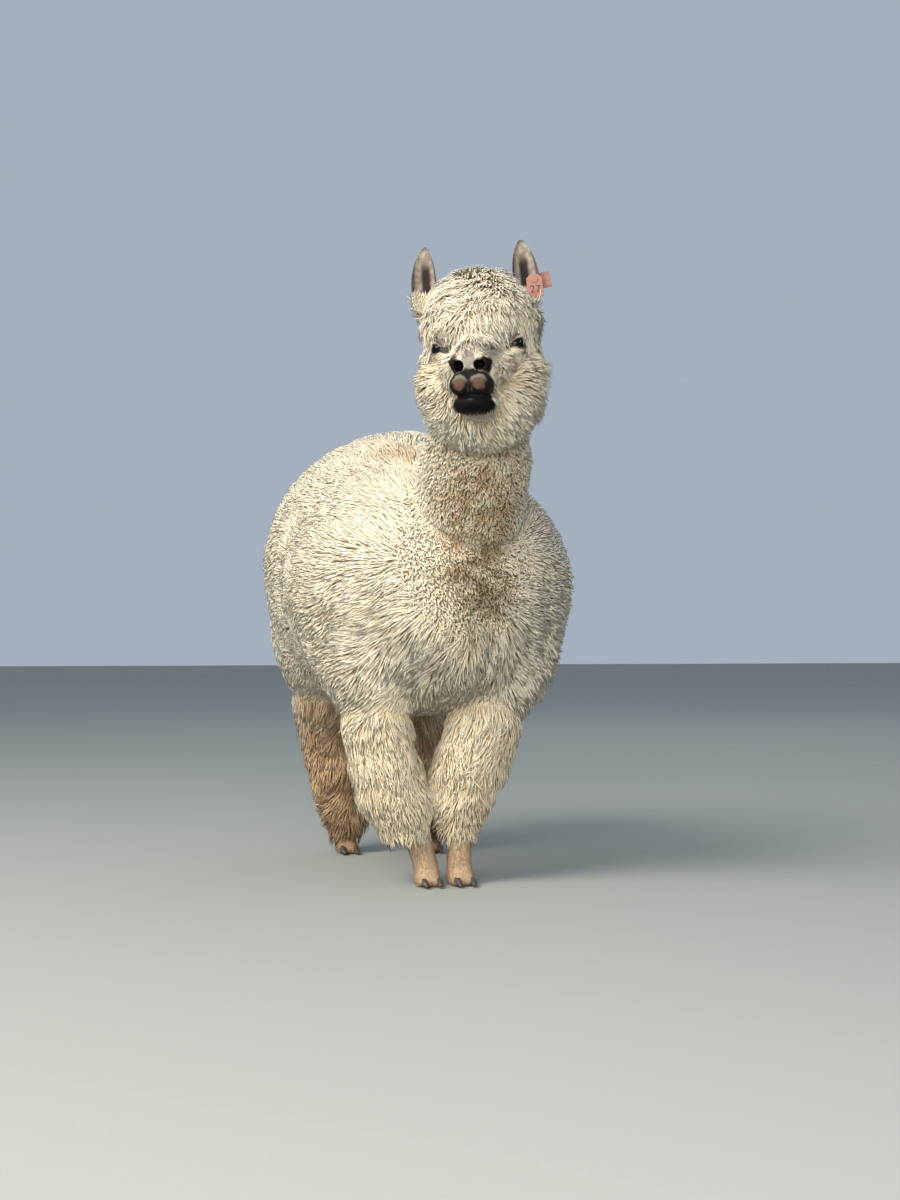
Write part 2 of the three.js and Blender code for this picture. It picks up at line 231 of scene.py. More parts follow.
def face_form(p, cut=True):
    """The face's signed distance, with its nostrils, mouth and eye openings cut, or without."""
    q = p.copy()
    q[..., 0] = np.abs(p[..., 0] + NOSE_TURN * ramp(-p[..., 1], 84, 132))
    midline = rod(q, (0, -4, -14), (0, -84, -54), 48, 35)
    braincase = rod(q, (26, 32, -6), (58, -3, -1), 42, 23)
    cheekbone = rod(q, (56, 0, -18), (24, -66, -52), 18, 26)
    jaw = rod(q, (0, 10, -60), (0, -70, -94), 44, 22)
    skull = join(14, midline, braincase, cheekbone, jaw)
    bridge = rod(q, (0, -46, -10), (0, -104, -43), 32, 24)
    nose = ball(q, (0, -114, -45), (35, 22, 24))
    upper_jaw = ball(q, (0, -94, -78), (37, 43, 28))
    lip_pads = ball(q, (17, -119, -80), (19.5, 20.5, 20))
    nostril_wing = rod(q, (14, -132, -35), (35, -115, -42), 3.6, 2.6)
    upper = join(6, join(9, join(8, bridge, nose, upper_jaw), lip_pads), nostril_wing)
    chin = ball(q, (0, -97, -112), (37, 38.5, 19))
    if not cut:
        return join(9, skull, join(3, upper, chin))
    nostril_front = ball(q, (18.5, -136, -50), (10, 16, 11.5))
    nostril_tail = rod(q, (20, -139, -53), (40, -119, -53), 7.6, 4.4)
    nostril_depth = rod(q, (18, -130, -49), (15, -104, -46), 8.0, 5.6)
    upper = carve(3, upper, join(4, nostril_front, nostril_tail, nostril_depth))
    lip_split = rod(q, (0, -147, -68), (0, -146, -104), 1.6, 2.6)
    upper = carve(2.5, upper, lip_split)
    lower = join(9, chin, rod(q, (0, -84, -109), (0, -30, -92), 23, 30))
    below_lips = (q @ MOUTH_DOWN) - MOUTH_LEVEL
    parted = 1.2 + 2.4 * np.clip(-(q[..., 1] + 100) / 40, 0, 1)
    lower = carve(2, lower, below_lips - parted)
    upper = carve(2.5, upper, -below_lips)
    made = join(9, skull, join(2.2, upper, lower))
    for side in (1, -1):
        form, opening = lids(p, side)
        made = carve(1.4, join(5, made, form), opening)
    return made


# ---- Skin ----
# One closed surface for the whole animal. The flesh pieces are melted together over their thin cuts, drawn
# in by the depth of the coat, and joined to the bare form of the face. The face is then cut finer and drawn
# onto that form.

CELL = 0.0065
MELT = 0.0015  # how far the pieces swell to close the cuts between them
SOFTENINGS = 7
DRAWS = 6  # how often the face's points are drawn onto its form
MARGIN = 0.03  # the grid's room round the solids
OUTSIDE = 0.06  # the distance that stands for everything beyond the grid
COAT = {"trunk": 0.0125, "head": 0.012, "leg": 0.0105, "foot": 0.0012}
flesh = [name for name in cad if not name.startswith(("eye_", "ear_")) and not name.endswith("_nail")]


def points_of(mesh):
    flat = np.empty(len(mesh.vertices) * 3, np.float32)
    mesh.vertices.foreach_get("co", flat)
    return flat.reshape(-1, 3).astype(float)


def triangles_of(mesh):
    mesh.calc_loop_triangles()
    corners = np.empty(len(mesh.loop_triangles) * 3, np.int32)
    mesh.loop_triangles.foreach_get("vertices", corners)
    return corners.reshape(-1, 3)


flesh_points, flesh_triangles, owners, first = [], [], [], 0
for name in flesh:
    flesh_points.append(points_of(cad[name].data))
    flesh_triangles.append(triangles_of(cad[name].data) + first)
    owners += [name] * len(flesh_triangles[-1])
    first += len(flesh_points[-1])
flesh_points, flesh_triangles = np.concatenate(flesh_points), np.concatenate(flesh_triangles)

grid_scale = openvdb.createLinearTransform(voxelSize=CELL)
melted = openvdb.FloatGrid.createLevelSetFromPolygons(
    flesh_points.astype(np.float32),
    triangles=flesh_triangles.astype(np.uint32),
    transform=grid_scale,
    halfWidth=3,
)
melted_points, melted_quads = melted.convertToQuads(MELT)
outline = openvdb.FloatGrid.createLevelSetFromPolygons(
    melted_points, quads=melted_quads, transform=grid_scale, halfWidth=9
)
corner = np.floor((np.array(cad_low) - MARGIN) / CELL).astype(int)
grid_size = np.ceil((np.array(cad_high) + MARGIN) / CELL).astype(int) - corner
field = np.empty(grid_size, np.float32)
outline.copyToArray(field, ijk=tuple(int(i) for i in corner))
grid_x, grid_y, grid_z = (np.arange(n) * CELL + c * CELL for n, c in zip(grid_size, corner))


def coat_depth(y, z):
    """How thick the coat is over a place, from the animal's length and height alone."""
    hind = ramp(y, 0.02, 0.14)
    cuff = hind * 0.052 + (1 - hind) * 0.108
    leg = COAT["foot"] + (COAT["leg"] - COAT["foot"]) * ramp(z, cuff - 0.014, cuff + 0.014)
    body = COAT["trunk"] + (COAT["head"] - COAT["trunk"]) * ramp(y, -0.25, -0.36)
    return leg + (body - leg) * ramp(z, 0.26, 0.42)


def soften(values):
    for axis in range(3):
        line = np.moveaxis(values, axis, 0)
        line[1:-1] = (line[:-2] + 2 * line[1:-1] + line[2:]) / 4
    return values


deep = coat_depth(grid_y[:, None], grid_z[None, :]).astype(np.float32)
field += MELT
smooth = field.copy()
for _ in range(SOFTENINGS):
    smooth = soften(smooth)
mixed = ramp(grid_z, 0.06, 0.16).astype(np.float32)
field = field * (1 - mixed) + smooth * mixed + deep[None, :, :]


def sample(points):
    """The drawn-in form at any points, in metres."""
    at = points / CELL - corner
    low = np.clip(np.floor(at).astype(int), 0, grid_size - 2)
    share = at - low
    made = 0
    for i in (0, 1):
        for j in (0, 1):
            for k in (0, 1):
                weight = 1
                for axis, step in enumerate((i, j, k)):
                    weight = weight * (share[:, axis] if step else 1 - share[:, axis])
                made = made + weight * field[low[:, 0] + i, low[:, 1] + j, low[:, 2] + k]
    return made


def skin_form(points):
    return join(0.012, sample(points), face_form(in_head(points) * 1000) / 1000)


face_corners = from_head([(x, y, z) for x in (-0.13, 0.13) for y in (-0.17, 0.06) for z in (-0.16, 0.08)])
block = []
for axis in range(3):
    start = int(face_corners[:, axis].min() / CELL) - corner[axis]
    end = int(face_corners[:, axis].max() / CELL) - corner[axis]
    block.append(slice(max(start, 0), min(end, grid_size[axis] - 1)))
block_points = np.stack(np.meshgrid(grid_x[block[0]], grid_y[block[1]], grid_z[block[2]], indexing="ij"), -1)
with_face = field.copy()
with_face[tuple(block)] = skin_form(block_points.reshape(-1, 3)).reshape(block_points.shape[:3])
whole = openvdb.FloatGrid(OUTSIDE)
whole.copyFromArray(with_face, ijk=tuple(int(i) for i in corner))
whole.transform = grid_scale
skin_points, skin_quads = whole.convertToQuads(0)
skin_mesh = bpy.data.meshes.new("skin")
skin_mesh.from_pydata(skin_points.tolist(), [], skin_quads.tolist())


def cut_finer(mesh, wanted):
    """Halve the edges between the wanted points."""
    made = bmesh.new()
    made.from_mesh(mesh)
    made.verts.ensure_lookup_table()
    chosen = [e for e in made.edges if wanted[e.verts[0].index] and wanted[e.verts[1].index]]
    bmesh.ops.subdivide_edges(made, edges=chosen, cuts=1, use_grid_fill=True)
    bmesh.ops.triangulate(made, faces=[f for f in made.faces if len(f.verts) > 4])
    made.to_mesh(mesh)
    made.free()


def near_face(points, muzzle_from, eye_reach):
    """The points on the muzzle in front of a depth, and those this near an eye, in millimetres."""
    h = in_head(points) * 1000
    muzzle = (h[:, 1] < muzzle_from) & (np.abs(h[:, 0]) < 60) & (h[:, 2] < 12) & (h[:, 2] > -140)
    return muzzle | (np.linalg.norm(fold_over(h) - eye_mm, axis=1) < eye_reach)


cut_finer(skin_mesh, near_face(points_of(skin_mesh), -46, 36))
cut_finer(skin_mesh, near_face(points_of(skin_mesh), -76, 27))
skin_points = points_of(skin_mesh)
drawn = near_face(skin_points, -40, 42)
pulled = skin_points[drawn]
for _ in range(DRAWS):
    off = skin_form(pulled)
    slope = np.stack([(skin_form(pulled + step) - off) / 2e-4 for step in np.eye(3) * 2e-4], 1)
    move = slope * (off / np.maximum((slope * slope).sum(1), 0.3))[:, None]
    far = np.linalg.norm(move, axis=1, keepdims=True)
    pulled -= move * np.minimum(1, 0.002 / np.maximum(far, 1e-9))
skin_points[drawn] = pulled
skin_mesh.vertices.foreach_set("co", skin_points.ravel())

# ---- Ears ----
# Each ear is a leaf-shaped sheet of gristle rolled forwards at its rims, about 3 mm thick. Its root runs
# down into the skull, and it is melted into the skin.

EAR_ROOT = {1: (0.089, 0.068, 0.077), -1: (-0.097, 0.068, 0.077)}
EAR = {"half_width": 0.0238, "thick": 0.0015, "bow": 0.01, "turned_out": 10, "roll": 96, "sunk": 0.22}
EAR_ROWS, EAR_COLUMNS = 40, 19


def ear_axes(side):
    """An ear's root, the ways across, back and up from there, and its length to the tip of its solid."""
    root = from_head(EAR_ROOT[side])
    solid = points_of(cad["ear_left" if side > 0 else "ear_right"].data)
    up = solid[np.argmax(solid[:, 2])] - root
    length = np.linalg.norm(up)
    up /= length
    turned = math.radians(EAR["turned_out"]) * side
    across = head_turn @ np.array([math.cos(turned), math.sin(turned), 0])
    across -= up * (across @ up)
    across /= np.linalg.norm(across)
    return root, across, np.cross(up, across), up, length


def ear_sheet(side, u, v, offset):
    """A point of the ear: u runs from rim to rim, v from root to tip, offset through the sheet."""
    root, across, back, up, length = ear_axes(side)
    top = np.clip(v, 0, 1)
    leaf = np.where(v > 0.42, np.sqrt(np.clip(4 * top * (1 - top), 0, 1)) * (1 - top) ** 0.2 * 1.13, 1)
    leaf = np.where(v < 0.42, 0.995 - 0.15 * (0.42 - v) ** 2, leaf)
    wide = EAR["half_width"] * leaf
    roll = np.radians(EAR["roll"] - 38 * top)
    bend = wide / np.sin(np.minimum(roll, math.pi / 2))
    x = (bend + offset) * np.sin(u * roll)
    y = (bend + offset) * np.cos(u * roll) - bend + EAR["bow"] * (top * top - top) + 0.4 * wide * (1 - top)
    x -= side * 0.2 * np.clip(0.25 - v, 0, 1) ** 2
    return root + x[..., None] * across + y[..., None] * back + (v * length)[..., None] * up


ear_bodies = []
for side in (1, -1):
    u, v = np.meshgrid(np.linspace(-1, 1, EAR_COLUMNS), np.linspace(-EAR["sunk"], 0.995, EAR_ROWS))
    thin = EAR["thick"] * np.sqrt(np.clip(1.02 - u * u, 0, 1)) * (1.25 - 0.6 * np.clip(v, 0, 1))
    front, behind = ear_sheet(side, u, v, -thin), ear_sheet(side, u, v, thin)
    ring = np.concatenate([front, behind[:, ::-1]], 1)
    rows, around = ring.shape[:2]
    at = np.arange(rows * around).reshape(rows, around)
    ahead = np.roll(at, -1, axis=1)
    quads = np.stack([at[:-1], ahead[:-1], ahead[1:], at[1:]], -1).reshape(-1, 4).tolist()
    quads += [at[0, ::-1].tolist(), at[-1].tolist()]
    ear_mesh = bpy.data.meshes.new("ear")
    ear_mesh.from_pydata(ring.reshape(-1, 3).tolist(), [], quads)
    ear_body = bpy.data.objects.new("ear", ear_mesh)
    bpy.context.collection.objects.link(ear_body)
    ear_bodies.append(ear_body)

skin = bpy.data.objects.new("skin", skin_mesh)
bpy.context.collection.objects.link(skin)
for ear_body in ear_bodies:
    union = skin.modifiers.new("melt", "BOOLEAN")
    union.operation = "UNION"
    union.solver = "MANIFOLD"
    union.object = ear_body
merged = bpy.data.meshes.new_from_object(skin.evaluated_get(bpy.context.evaluated_depsgraph_get()))
skin.modifiers.clear()
skin.data = merged
merged.name = "skin"
for ear_body in ear_bodies:
    bpy.data.objects.remove(ear_body)

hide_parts(*flesh, "ear_left", "ear_right")
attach(skin, "root")
skin.data.shade_smooth()

# ---- Where the coat grows, and which way it lies ----
# Roots are scattered evenly over the skin. Each takes its part of the body from the flesh piece above it,
# and its direction from the whorl on the chest, the crown of the head or the fall of the wool.

rng = np.random.default_rng(11)
skin_points, skin_triangles = points_of(skin.data), triangles_of(skin.data)
edge_a = skin_points[skin_triangles[:, 1]] - skin_points[skin_triangles[:, 0]]
edge_b = skin_points[skin_triangles[:, 2]] - skin_points[skin_triangles[:, 0]]
normals = np.cross(edge_a, edge_b)
areas = np.linalg.norm(normals, axis=1) / 2
normals /= np.maximum(2 * areas, 1e-12)[:, None]
point_normals = np.zeros_like(skin_points)
for k in range(3):
    for axis in range(3):
        weighted = normals[:, axis] * areas
        point_normals[:, axis] += np.bincount(skin_triangles[:, k], weighted, len(skin_points))
point_normals /= np.maximum(np.linalg.norm(point_normals, axis=1, keepdims=True), 1e-12)


def unit(v):
    return v / np.maximum(np.linalg.norm(v, axis=-1, keepdims=True), 1e-9)


def ear_places(points, facing):
    """Where points lie on the ears: from middle to rim, from root to tip, and whether they face inside."""
    places = np.tile([0.0, -1.0, 0.0], (len(points), 1))
    for side in (1, -1):
        root, across, back, up, length = ear_axes(side)
        q = points - root
        v = (q @ up) / length
        near = (np.abs(q @ across) < 0.032) & (np.abs(q @ back) < 0.035) & (v > 0) & (v < 1.1)
        wide = EAR["half_width"] * np.where(v > 0.42, np.sqrt(np.clip(4 * v * (1 - v), 0.02, 1)), 1)
        places[near, 0] = (np.abs(q @ across) / wide)[near]
        places[near, 1] = v[near]
        places[near, 2] = (facing @ back < 0)[near]
    return places.T


FINEST = 0.0031  # spacing of the candidates
TRIED = 2  # candidates for every cell of that size, of which one is kept
count = int(areas.sum() / FINEST**2 * TRIED)
steps = (np.arange(count) + rng.random(count)) / count * areas.sum()
chosen = np.minimum(np.searchsorted(np.cumsum(areas), steps), len(areas) - 1)
share_a, share_b = rng.random((2, count))
past = share_a + share_b > 1
share_a, share_b = np.where(past, 1 - share_a, share_a), np.where(past, 1 - share_b, share_b)
weights = np.stack([1 - share_a - share_b, share_a, share_b], 1)
roots = (skin_points[skin_triangles[chosen]] * weights[..., None]).sum(1)
outward = unit((point_normals[skin_triangles[chosen]] * weights[..., None]).sum(1))
cells = np.unique(np.floor(roots / FINEST).astype(int), axis=0, return_index=True)[1]
roots, outward = roots[cells], outward[cells]


def within(points, centre, reach):
    """Whether points lie inside an ellipsoid."""
    return np.linalg.norm((points - np.array(centre)) / reach, axis=-1) < 1


# The flesh piece over each root, the room for coat there, and where the root lies on the face.
above = BVHTree.FromPolygons(flesh_points.tolist(), flesh_triangles.tolist())
h = in_head(roots) * 1000
found = [above.find_nearest(p) for p in roots.tolist()]
owner = np.array([owners[face] for _, _, face, _ in found])
cover = np.array([away for _, _, _, away in found])  # how much coat there is room for
folded_h = fold_over(h)
to_eye = np.linalg.norm(folded_h - eye_mm, axis=1)
on_muzzle = (np.abs(h[:, 0]) < 47 + 0.22 * np.minimum(h[:, 1] + 50, 0)) & (h[:, 1] < -52) & (h[:, 2] < 6)
tear = eye_mm + [-10, -12, -3]  # the eye's inner corner
to_tear = np.linalg.norm((folded_h - tear) / [1, 1, 0.7], axis=1)
BARE_EYE, BARE_TEAR = 25, 19  # the hair is short this far round the eye and its inner corner
stands_out = face_form(h) / 1000 < sample(roots) - 0.002
bare = stands_out & (on_muzzle | (to_eye < BARE_EYE) | (to_tear < BARE_TEAR))
opening = lids(folded_h, 1)[1]
nose_skin = within(folded_h, (0, -130, -84), (46, 40, 44))
nostril_skin = within(folded_h, (25, -128, -52), (21, 30, 17))
hairless = ((opening < 1.2) & (to_eye < 24)) | nose_skin | nostril_skin
ear_across, ear_up, ear_inside = ear_places(roots, outward)

is_head = np.isin(owner, ("head", "muzzle", "lower_jaw"))
is_leg = np.char.endswith(owner, "_leg")
is_foot = np.char.endswith(owner, "_foot") | (is_leg & (coat_depth(roots[:, 1], roots[:, 2]) < 0.004))
is_ear = (ear_up > 0.30) & (sample(roots) > 0.004)
EAR_COVER = 0.007  # the room over the roots of the ears, where the nearest flesh lies too far off
cover = np.where(ear_up > 0, np.minimum(cover, EAR_COVER), cover)
on_nose = (h[:, 1] < -88) & (np.abs(h[:, 0]) < 54) & (h[:, 2] < 10)
is_face = is_head & (bare | on_nose) & ~is_ear
THROAT, THROAT_REACH = (0.016, -0.30, 0.64), (0.13, 0.17, 0.15)
from_throat = np.linalg.norm((roots - THROAT) / THROAT_REACH, axis=1)
granular = from_throat < rng.normal(1, 0.12, len(roots))
fringe = is_head & (h[:, 2] > 6 + 0.06 * h[:, 0]) & (h[:, 2] < 62) & (h[:, 1] < 22) & ~bare
at_ear = (ear_up > rng.normal(0.07, 0.03, len(roots))) & ~is_ear & (sample(roots) > -0.002)
ear_groove = is_ear & ((ear_inside > 0.5) & (ear_across < 0.6) | (ear_across > 0.72))
tag_low, tag_high = (np.array(end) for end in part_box("ear_tag_front"))
by_tag = ((roots > tag_low - 0.008) & (roots < tag_high + 0.008)).all(1) & ~is_ear
dark_edge = within(folded_h, (0, -124, -88), (55, 50, 47))

# A root grows the first of these styles whose place it is in, and trunk wool in none.
grows = (
    ("none", hairless | ear_groove),
    ("face", dark_edge | by_tag),
    ("ear_base", at_ear),
    ("ear", is_ear),
    ("face", is_face),
    ("foot", is_foot),
    ("fringe", fringe),
    ("wool_head", is_head),
    ("neck", (owner == "neck") | granular & ~is_leg),
    ("tail", owner == "tail"),
    ("leg", is_leg),
)
part = np.select([where for _, where in grows], [name for name, _ in grows], "trunk")

# The coat is combed away from the whorl or the crown, and down.
WHORL = np.array([0.01, -0.33, 0.57])  # on the chest, where the coat fans out
CROWN = (0, 75, 140)
NOSE = (0, -128, -58)
x, y, z = roots.T
fan = unit(roots - WHORL)
down = np.array([0, 0.12, -1.0])
rear = ramp(y, 0.12, 0.45)[:, None]
lie = fan + [0, 0.25, -0.35]
lie = lie * (1 - rear) + down * rear
from_crown = head_turn @ unit(h - CROWN).T
cheek = head_turn @ (unit(h - [0, -60, -36]) + [0, 0.1, -0.25]).T
high = ramp(h[:, 2], -25, 20)[:, None]
head_lie = from_crown.T * high + cheek.T * (1 - high)
lie = np.where(is_head[:, None], head_lie, lie)
lie = np.where((part == "fringe")[:, None], from_crown.T + [0, 0, -0.9], lie)
lie = np.where((part == "face")[:, None], (head_turn @ unit(h - NOSE).T).T, lie)
lie = np.where(np.isin(part, ("neck", "tail", "leg", "foot"))[:, None], down, lie)
lie = np.where(np.isin(part, ("ear", "ear_base"))[:, None], [0, 0.05, 1], lie)
lie = unit(lie)


def drift(places, wavelength, waves=7):
    """Smooth random vectors that change over this distance."""
    made = np.zeros_like(places)
    for _ in range(waves):
        turn = unit(rng.normal(size=3)) * 2 * math.pi / wavelength
        made += np.sin(places @ turn + rng.random() * 7)[:, None] * rng.normal(0, 1, 3) / math.sqrt(waves)
    return made


# Slow and quick drifts stir it, least where the hair is short. Then it is laid along the skin.
calm = np.where(np.isin(part, ("ear", "face", "foot")), 0.3, 1.0)[:, None]
lie = lie + calm * (0.30 * drift(roots, 0.11) + 0.18 * drift(roots, 0.035) + rng.normal(0, 0.10, lie.shape))
lie = lie + (part == "neck")[:, None] * rng.normal(0, 0.45, lie.shape)
fluffy = (1 + 1.6 * np.isin(part, ("wool_head", "fringe")))[:, None]
swell = 1 + fluffy * (0.10 * drift(roots, 0.05)[:, :1] + 0.05 * drift(roots, 0.02)[:, :1])
lie = unit(lie - outward * (lie * outward).sum(1, keepdims=True))

# Locks are longer on the chest and the ruff, and shorter round the ears and lids.
chest = ramp(-y, 0.16, 0.28) * ramp(-z, -0.60, -0.50) * (part == "trunk")
ruff = ramp(-h[:, 2], 60, 110) * (part == "wool_head")
near_lid = is_head & ((to_eye < 27) | (to_tear < BARE_TEAR))
by_ear = is_head & (ear_up > 0)
shortened = np.where(by_ear, 0.65, np.where(near_lid, 0.45, 1))
reach = ((1 + 0.7 * chest + 0.15 * ruff) * shortened)[:, None]
gather = np.where(is_head, 0.45 + 0.55 * ramp(-h[:, 2], 0, 60), 1)[:, None]

# ---- Unwrap of the skin ----
# The coat's map lays the roots flat. Each part of the body has a square tile, and a root's place in it comes
# from its direction out of that part's middle.

TILES = {"trunk": (0, 0, 0.6), "neck": (0.6, 0, 0.24), "tail": (0.84, 0, 0.16), "head": (0.6, 0.24, 0.36)}
for i, name in enumerate(("front_right", "front_left", "hind_right", "hind_left")):
    TILES[name] = (0.24 * i, 0.62, 0.24)


def tile_of(piece):
    for name in TILES:
        if piece.startswith(name):
            return name
    return "head"


def unwrap(points, pieces):
    places = np.zeros((len(points), 2))
    tiles = np.array([tile_of(p) for p in pieces])
    for name, (u, v, wide) in TILES.items():
        boxes = [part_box(n) for n in cad if n.startswith(name)]
        low = np.min([box[0] for box in boxes], 0)
        high = np.max([box[1] for box in boxes], 0)
        mine = tiles == name
        q = (points[mine] - (low + high) / 2) / (high - low)
        q /= np.abs(q).sum(1, keepdims=True)
        sign = np.where(q >= 0, 1, -1)
        folded = (1 - np.abs(q[:, [2, 0]])) * sign[:, [0, 2]]
        flat = np.where(q[:, 1:2] < 0, q[:, [0, 2]], folded)
        places[mine] = np.array([u, v]) + wide * (0.02 + 0.96 * (flat + 1) / 2)
    return places


# ---- Coat ----
# Wool grows in locks: long and loose on the body, curled and gathered on the head, short on face, ears and
# feet. Every lock is a closed three-sided rod that rises from its root, bends over and thins to a point.

# Metres between roots, length, how quickly it bends over, width, size and number of its crimps, how far it
# thins, how far it leans to its clump's middle, rings, and the most that it may rise.
LOCK = ("spacing", "along", "bend", "width", "crimp", "waves", "point", "clump", "rings", "most")
STYLES = {
    "trunk": (0.0058, 0.034, 2.6, 0.0056, 0.0018, 1.8, 0.60, 0.25, 3, 0.03),
    "neck": (0.0048, 0.013, 1.8, 0.0058, 0.0020, 1.4, 0.40, 0.30, 3, 0.03),
    "tail": (0.0064, 0.046, 2.4, 0.0060, 0.0020, 2.0, 0.70, 0.40, 4, 0.03),
    "wool_head": (0.0035, 0.022, 2.1, 0.0042, 0.0016, 1.8, 0.55, 0.70, 3, 0.03),
    "fringe": (0.0034, 0.036, 2.0, 0.0042, 0.0016, 2.0, 0.60, 0.80, 4, 0.03),
    "leg": (0.0056, 0.036, 2.2, 0.0052, 0.0016, 1.8, 0.70, 0.40, 4, 0.03),
    "ear_base": (0.0036, 0.018, 2.0, 0.0034, 0.0014, 1.5, 0.70, 0.50, 3, 0.007),
    "face": (0.0034, 0.0085, 2.4, 0.0030, 0.0003, 1.0, 0.60, 0.20, 2, 0.0022),
    "ear": (0.0034, 0.0045, 3.0, 0.0014, 0.0001, 1.0, 0.70, 0.00, 2, 0.0004),
    "foot": (0.0040, 0.0080, 2.4, 0.0028, 0.0003, 1.0, 0.70, 0.00, 2, 0.0016),
}
LOOSE = 0.65  # styles that lean more than this are gathered in wider clumps
SUNK = 0.002  # how deep the roots sit in the skin
FLAT = 0.42  # a lock's thickness against its width
SIDES = 3
PATCH = 0.003  # a lock's patch on the unwrap
PIECE_LOCKS = 6500


def thin_out(places, spacing):
    """One place out of each cell of a grid with this spacing."""
    shift = rng.random(3) * spacing
    return np.unique(np.floor((places + shift) / spacing).astype(int), axis=0, return_index=True)[1]


def lock_faces(rings, locks):
    """Quads between the rings, a fan at the tip and a cap at the root, for every lock at once."""
    each = rings * SIDES + 1
    quads = []
    for r in range(rings - 1):
        for k in range(SIDES):
            n = (k + 1) % SIDES
            quads.append([r * SIDES + k, r * SIDES + n, (r + 1) * SIDES + n, (r + 1) * SIDES + k])
    top = (rings - 1) * SIDES
    fans = [[top + k, top + (k + 1) % SIDES, rings * SIDES] for k in range(SIDES)] + [[2, 1, 0]]
    start = (np.arange(locks) * each)[:, None, None]
    return (np.array(quads)[None] + start).reshape(-1, 4), (np.array(fans)[None] + start).reshape(-1, 3)


def store(mesh, name, values):
    """Keep a number or a place for each point, for the materials."""
    values = np.asarray(values, np.float32)
    if values.ndim == 2:
        mesh.attributes.new(name, "FLOAT_VECTOR", "POINT").data.foreach_set("vector", values.ravel())
    else:
        mesh.attributes.new(name, "FLOAT", "POINT").data.foreach_set("value", values)


def lock_spines(style, at):
    """The middle lines of the locks with these roots, their widths, and a random shade for each."""
    root, n, d = roots[at], outward[at], lie[at]
    count = len(root)
    side = np.cross(n, d)
    grown = rng.normal(1, 0.13, (count, 1)).clip(0.6, 1.4)
    along = style["along"] * reach[at] * grown * rng.normal(1, 0.15, (count, 1)).clip(0.5, 1.5)
    rise = np.minimum(style["most"], np.clip(cover[at, None], 0.004, 0.03))
    rise = rise * swell[at] * rng.normal(1, 0.06, (count, 1)).clip(0.75, 1.15)
    waves = style["waves"] * rng.normal(1, 0.2, (count, 1))
    phase = rng.random((count, 1)) * 2 * math.pi
    fluff = style["clump"] > LOOSE
    centres = root[thin_out(root, style["spacing"] * (4.3 if fluff else 3.2))]
    tree = KDTree(len(centres))
    for i, centre in enumerate(centres.tolist()):
        tree.insert(centre, i)
    tree.balance()
    nearest = [tree.find(p) for p in root.tolist()]
    pull = np.array([centre for centre, _, _ in nearest]) - root
    clump = np.array([i for _, i, _ in nearest])
    rise = rise * rng.normal(1, 0.10 if fluff else 0.07, (len(centres), 1)).clip(0.7, 1.25)[clump]
    shade = 0.55 * rng.random(len(centres))[clump] + 0.45 * rng.random(count)
    pull -= n * (pull * n).sum(1, keepdims=True)
    t = np.linspace(0, 1, style["rings"] + 1)[None, :, None]
    spine = root[:, None] - n[:, None] * SUNK
    spine = spine + n[:, None] * ((rise + SUNK)[:, None] * (1 - (1 - t) ** style["bend"]))
    spine = spine + d[:, None] * (along[:, None] * t**1.5)
    turns = waves[:, None] * 2 * math.pi * t + phase[:, None]
    swing = np.sin(turns) * style["crimp"] * t
    lift = np.cos(turns) * style["crimp"] * 0.6 * t
    spine = spine + side[:, None] * swing + n[:, None] * lift
    spine = spine + (pull * gather[at])[:, None] * (style["clump"] * t**1.5)
    return spine, style["width"] * grown, shade


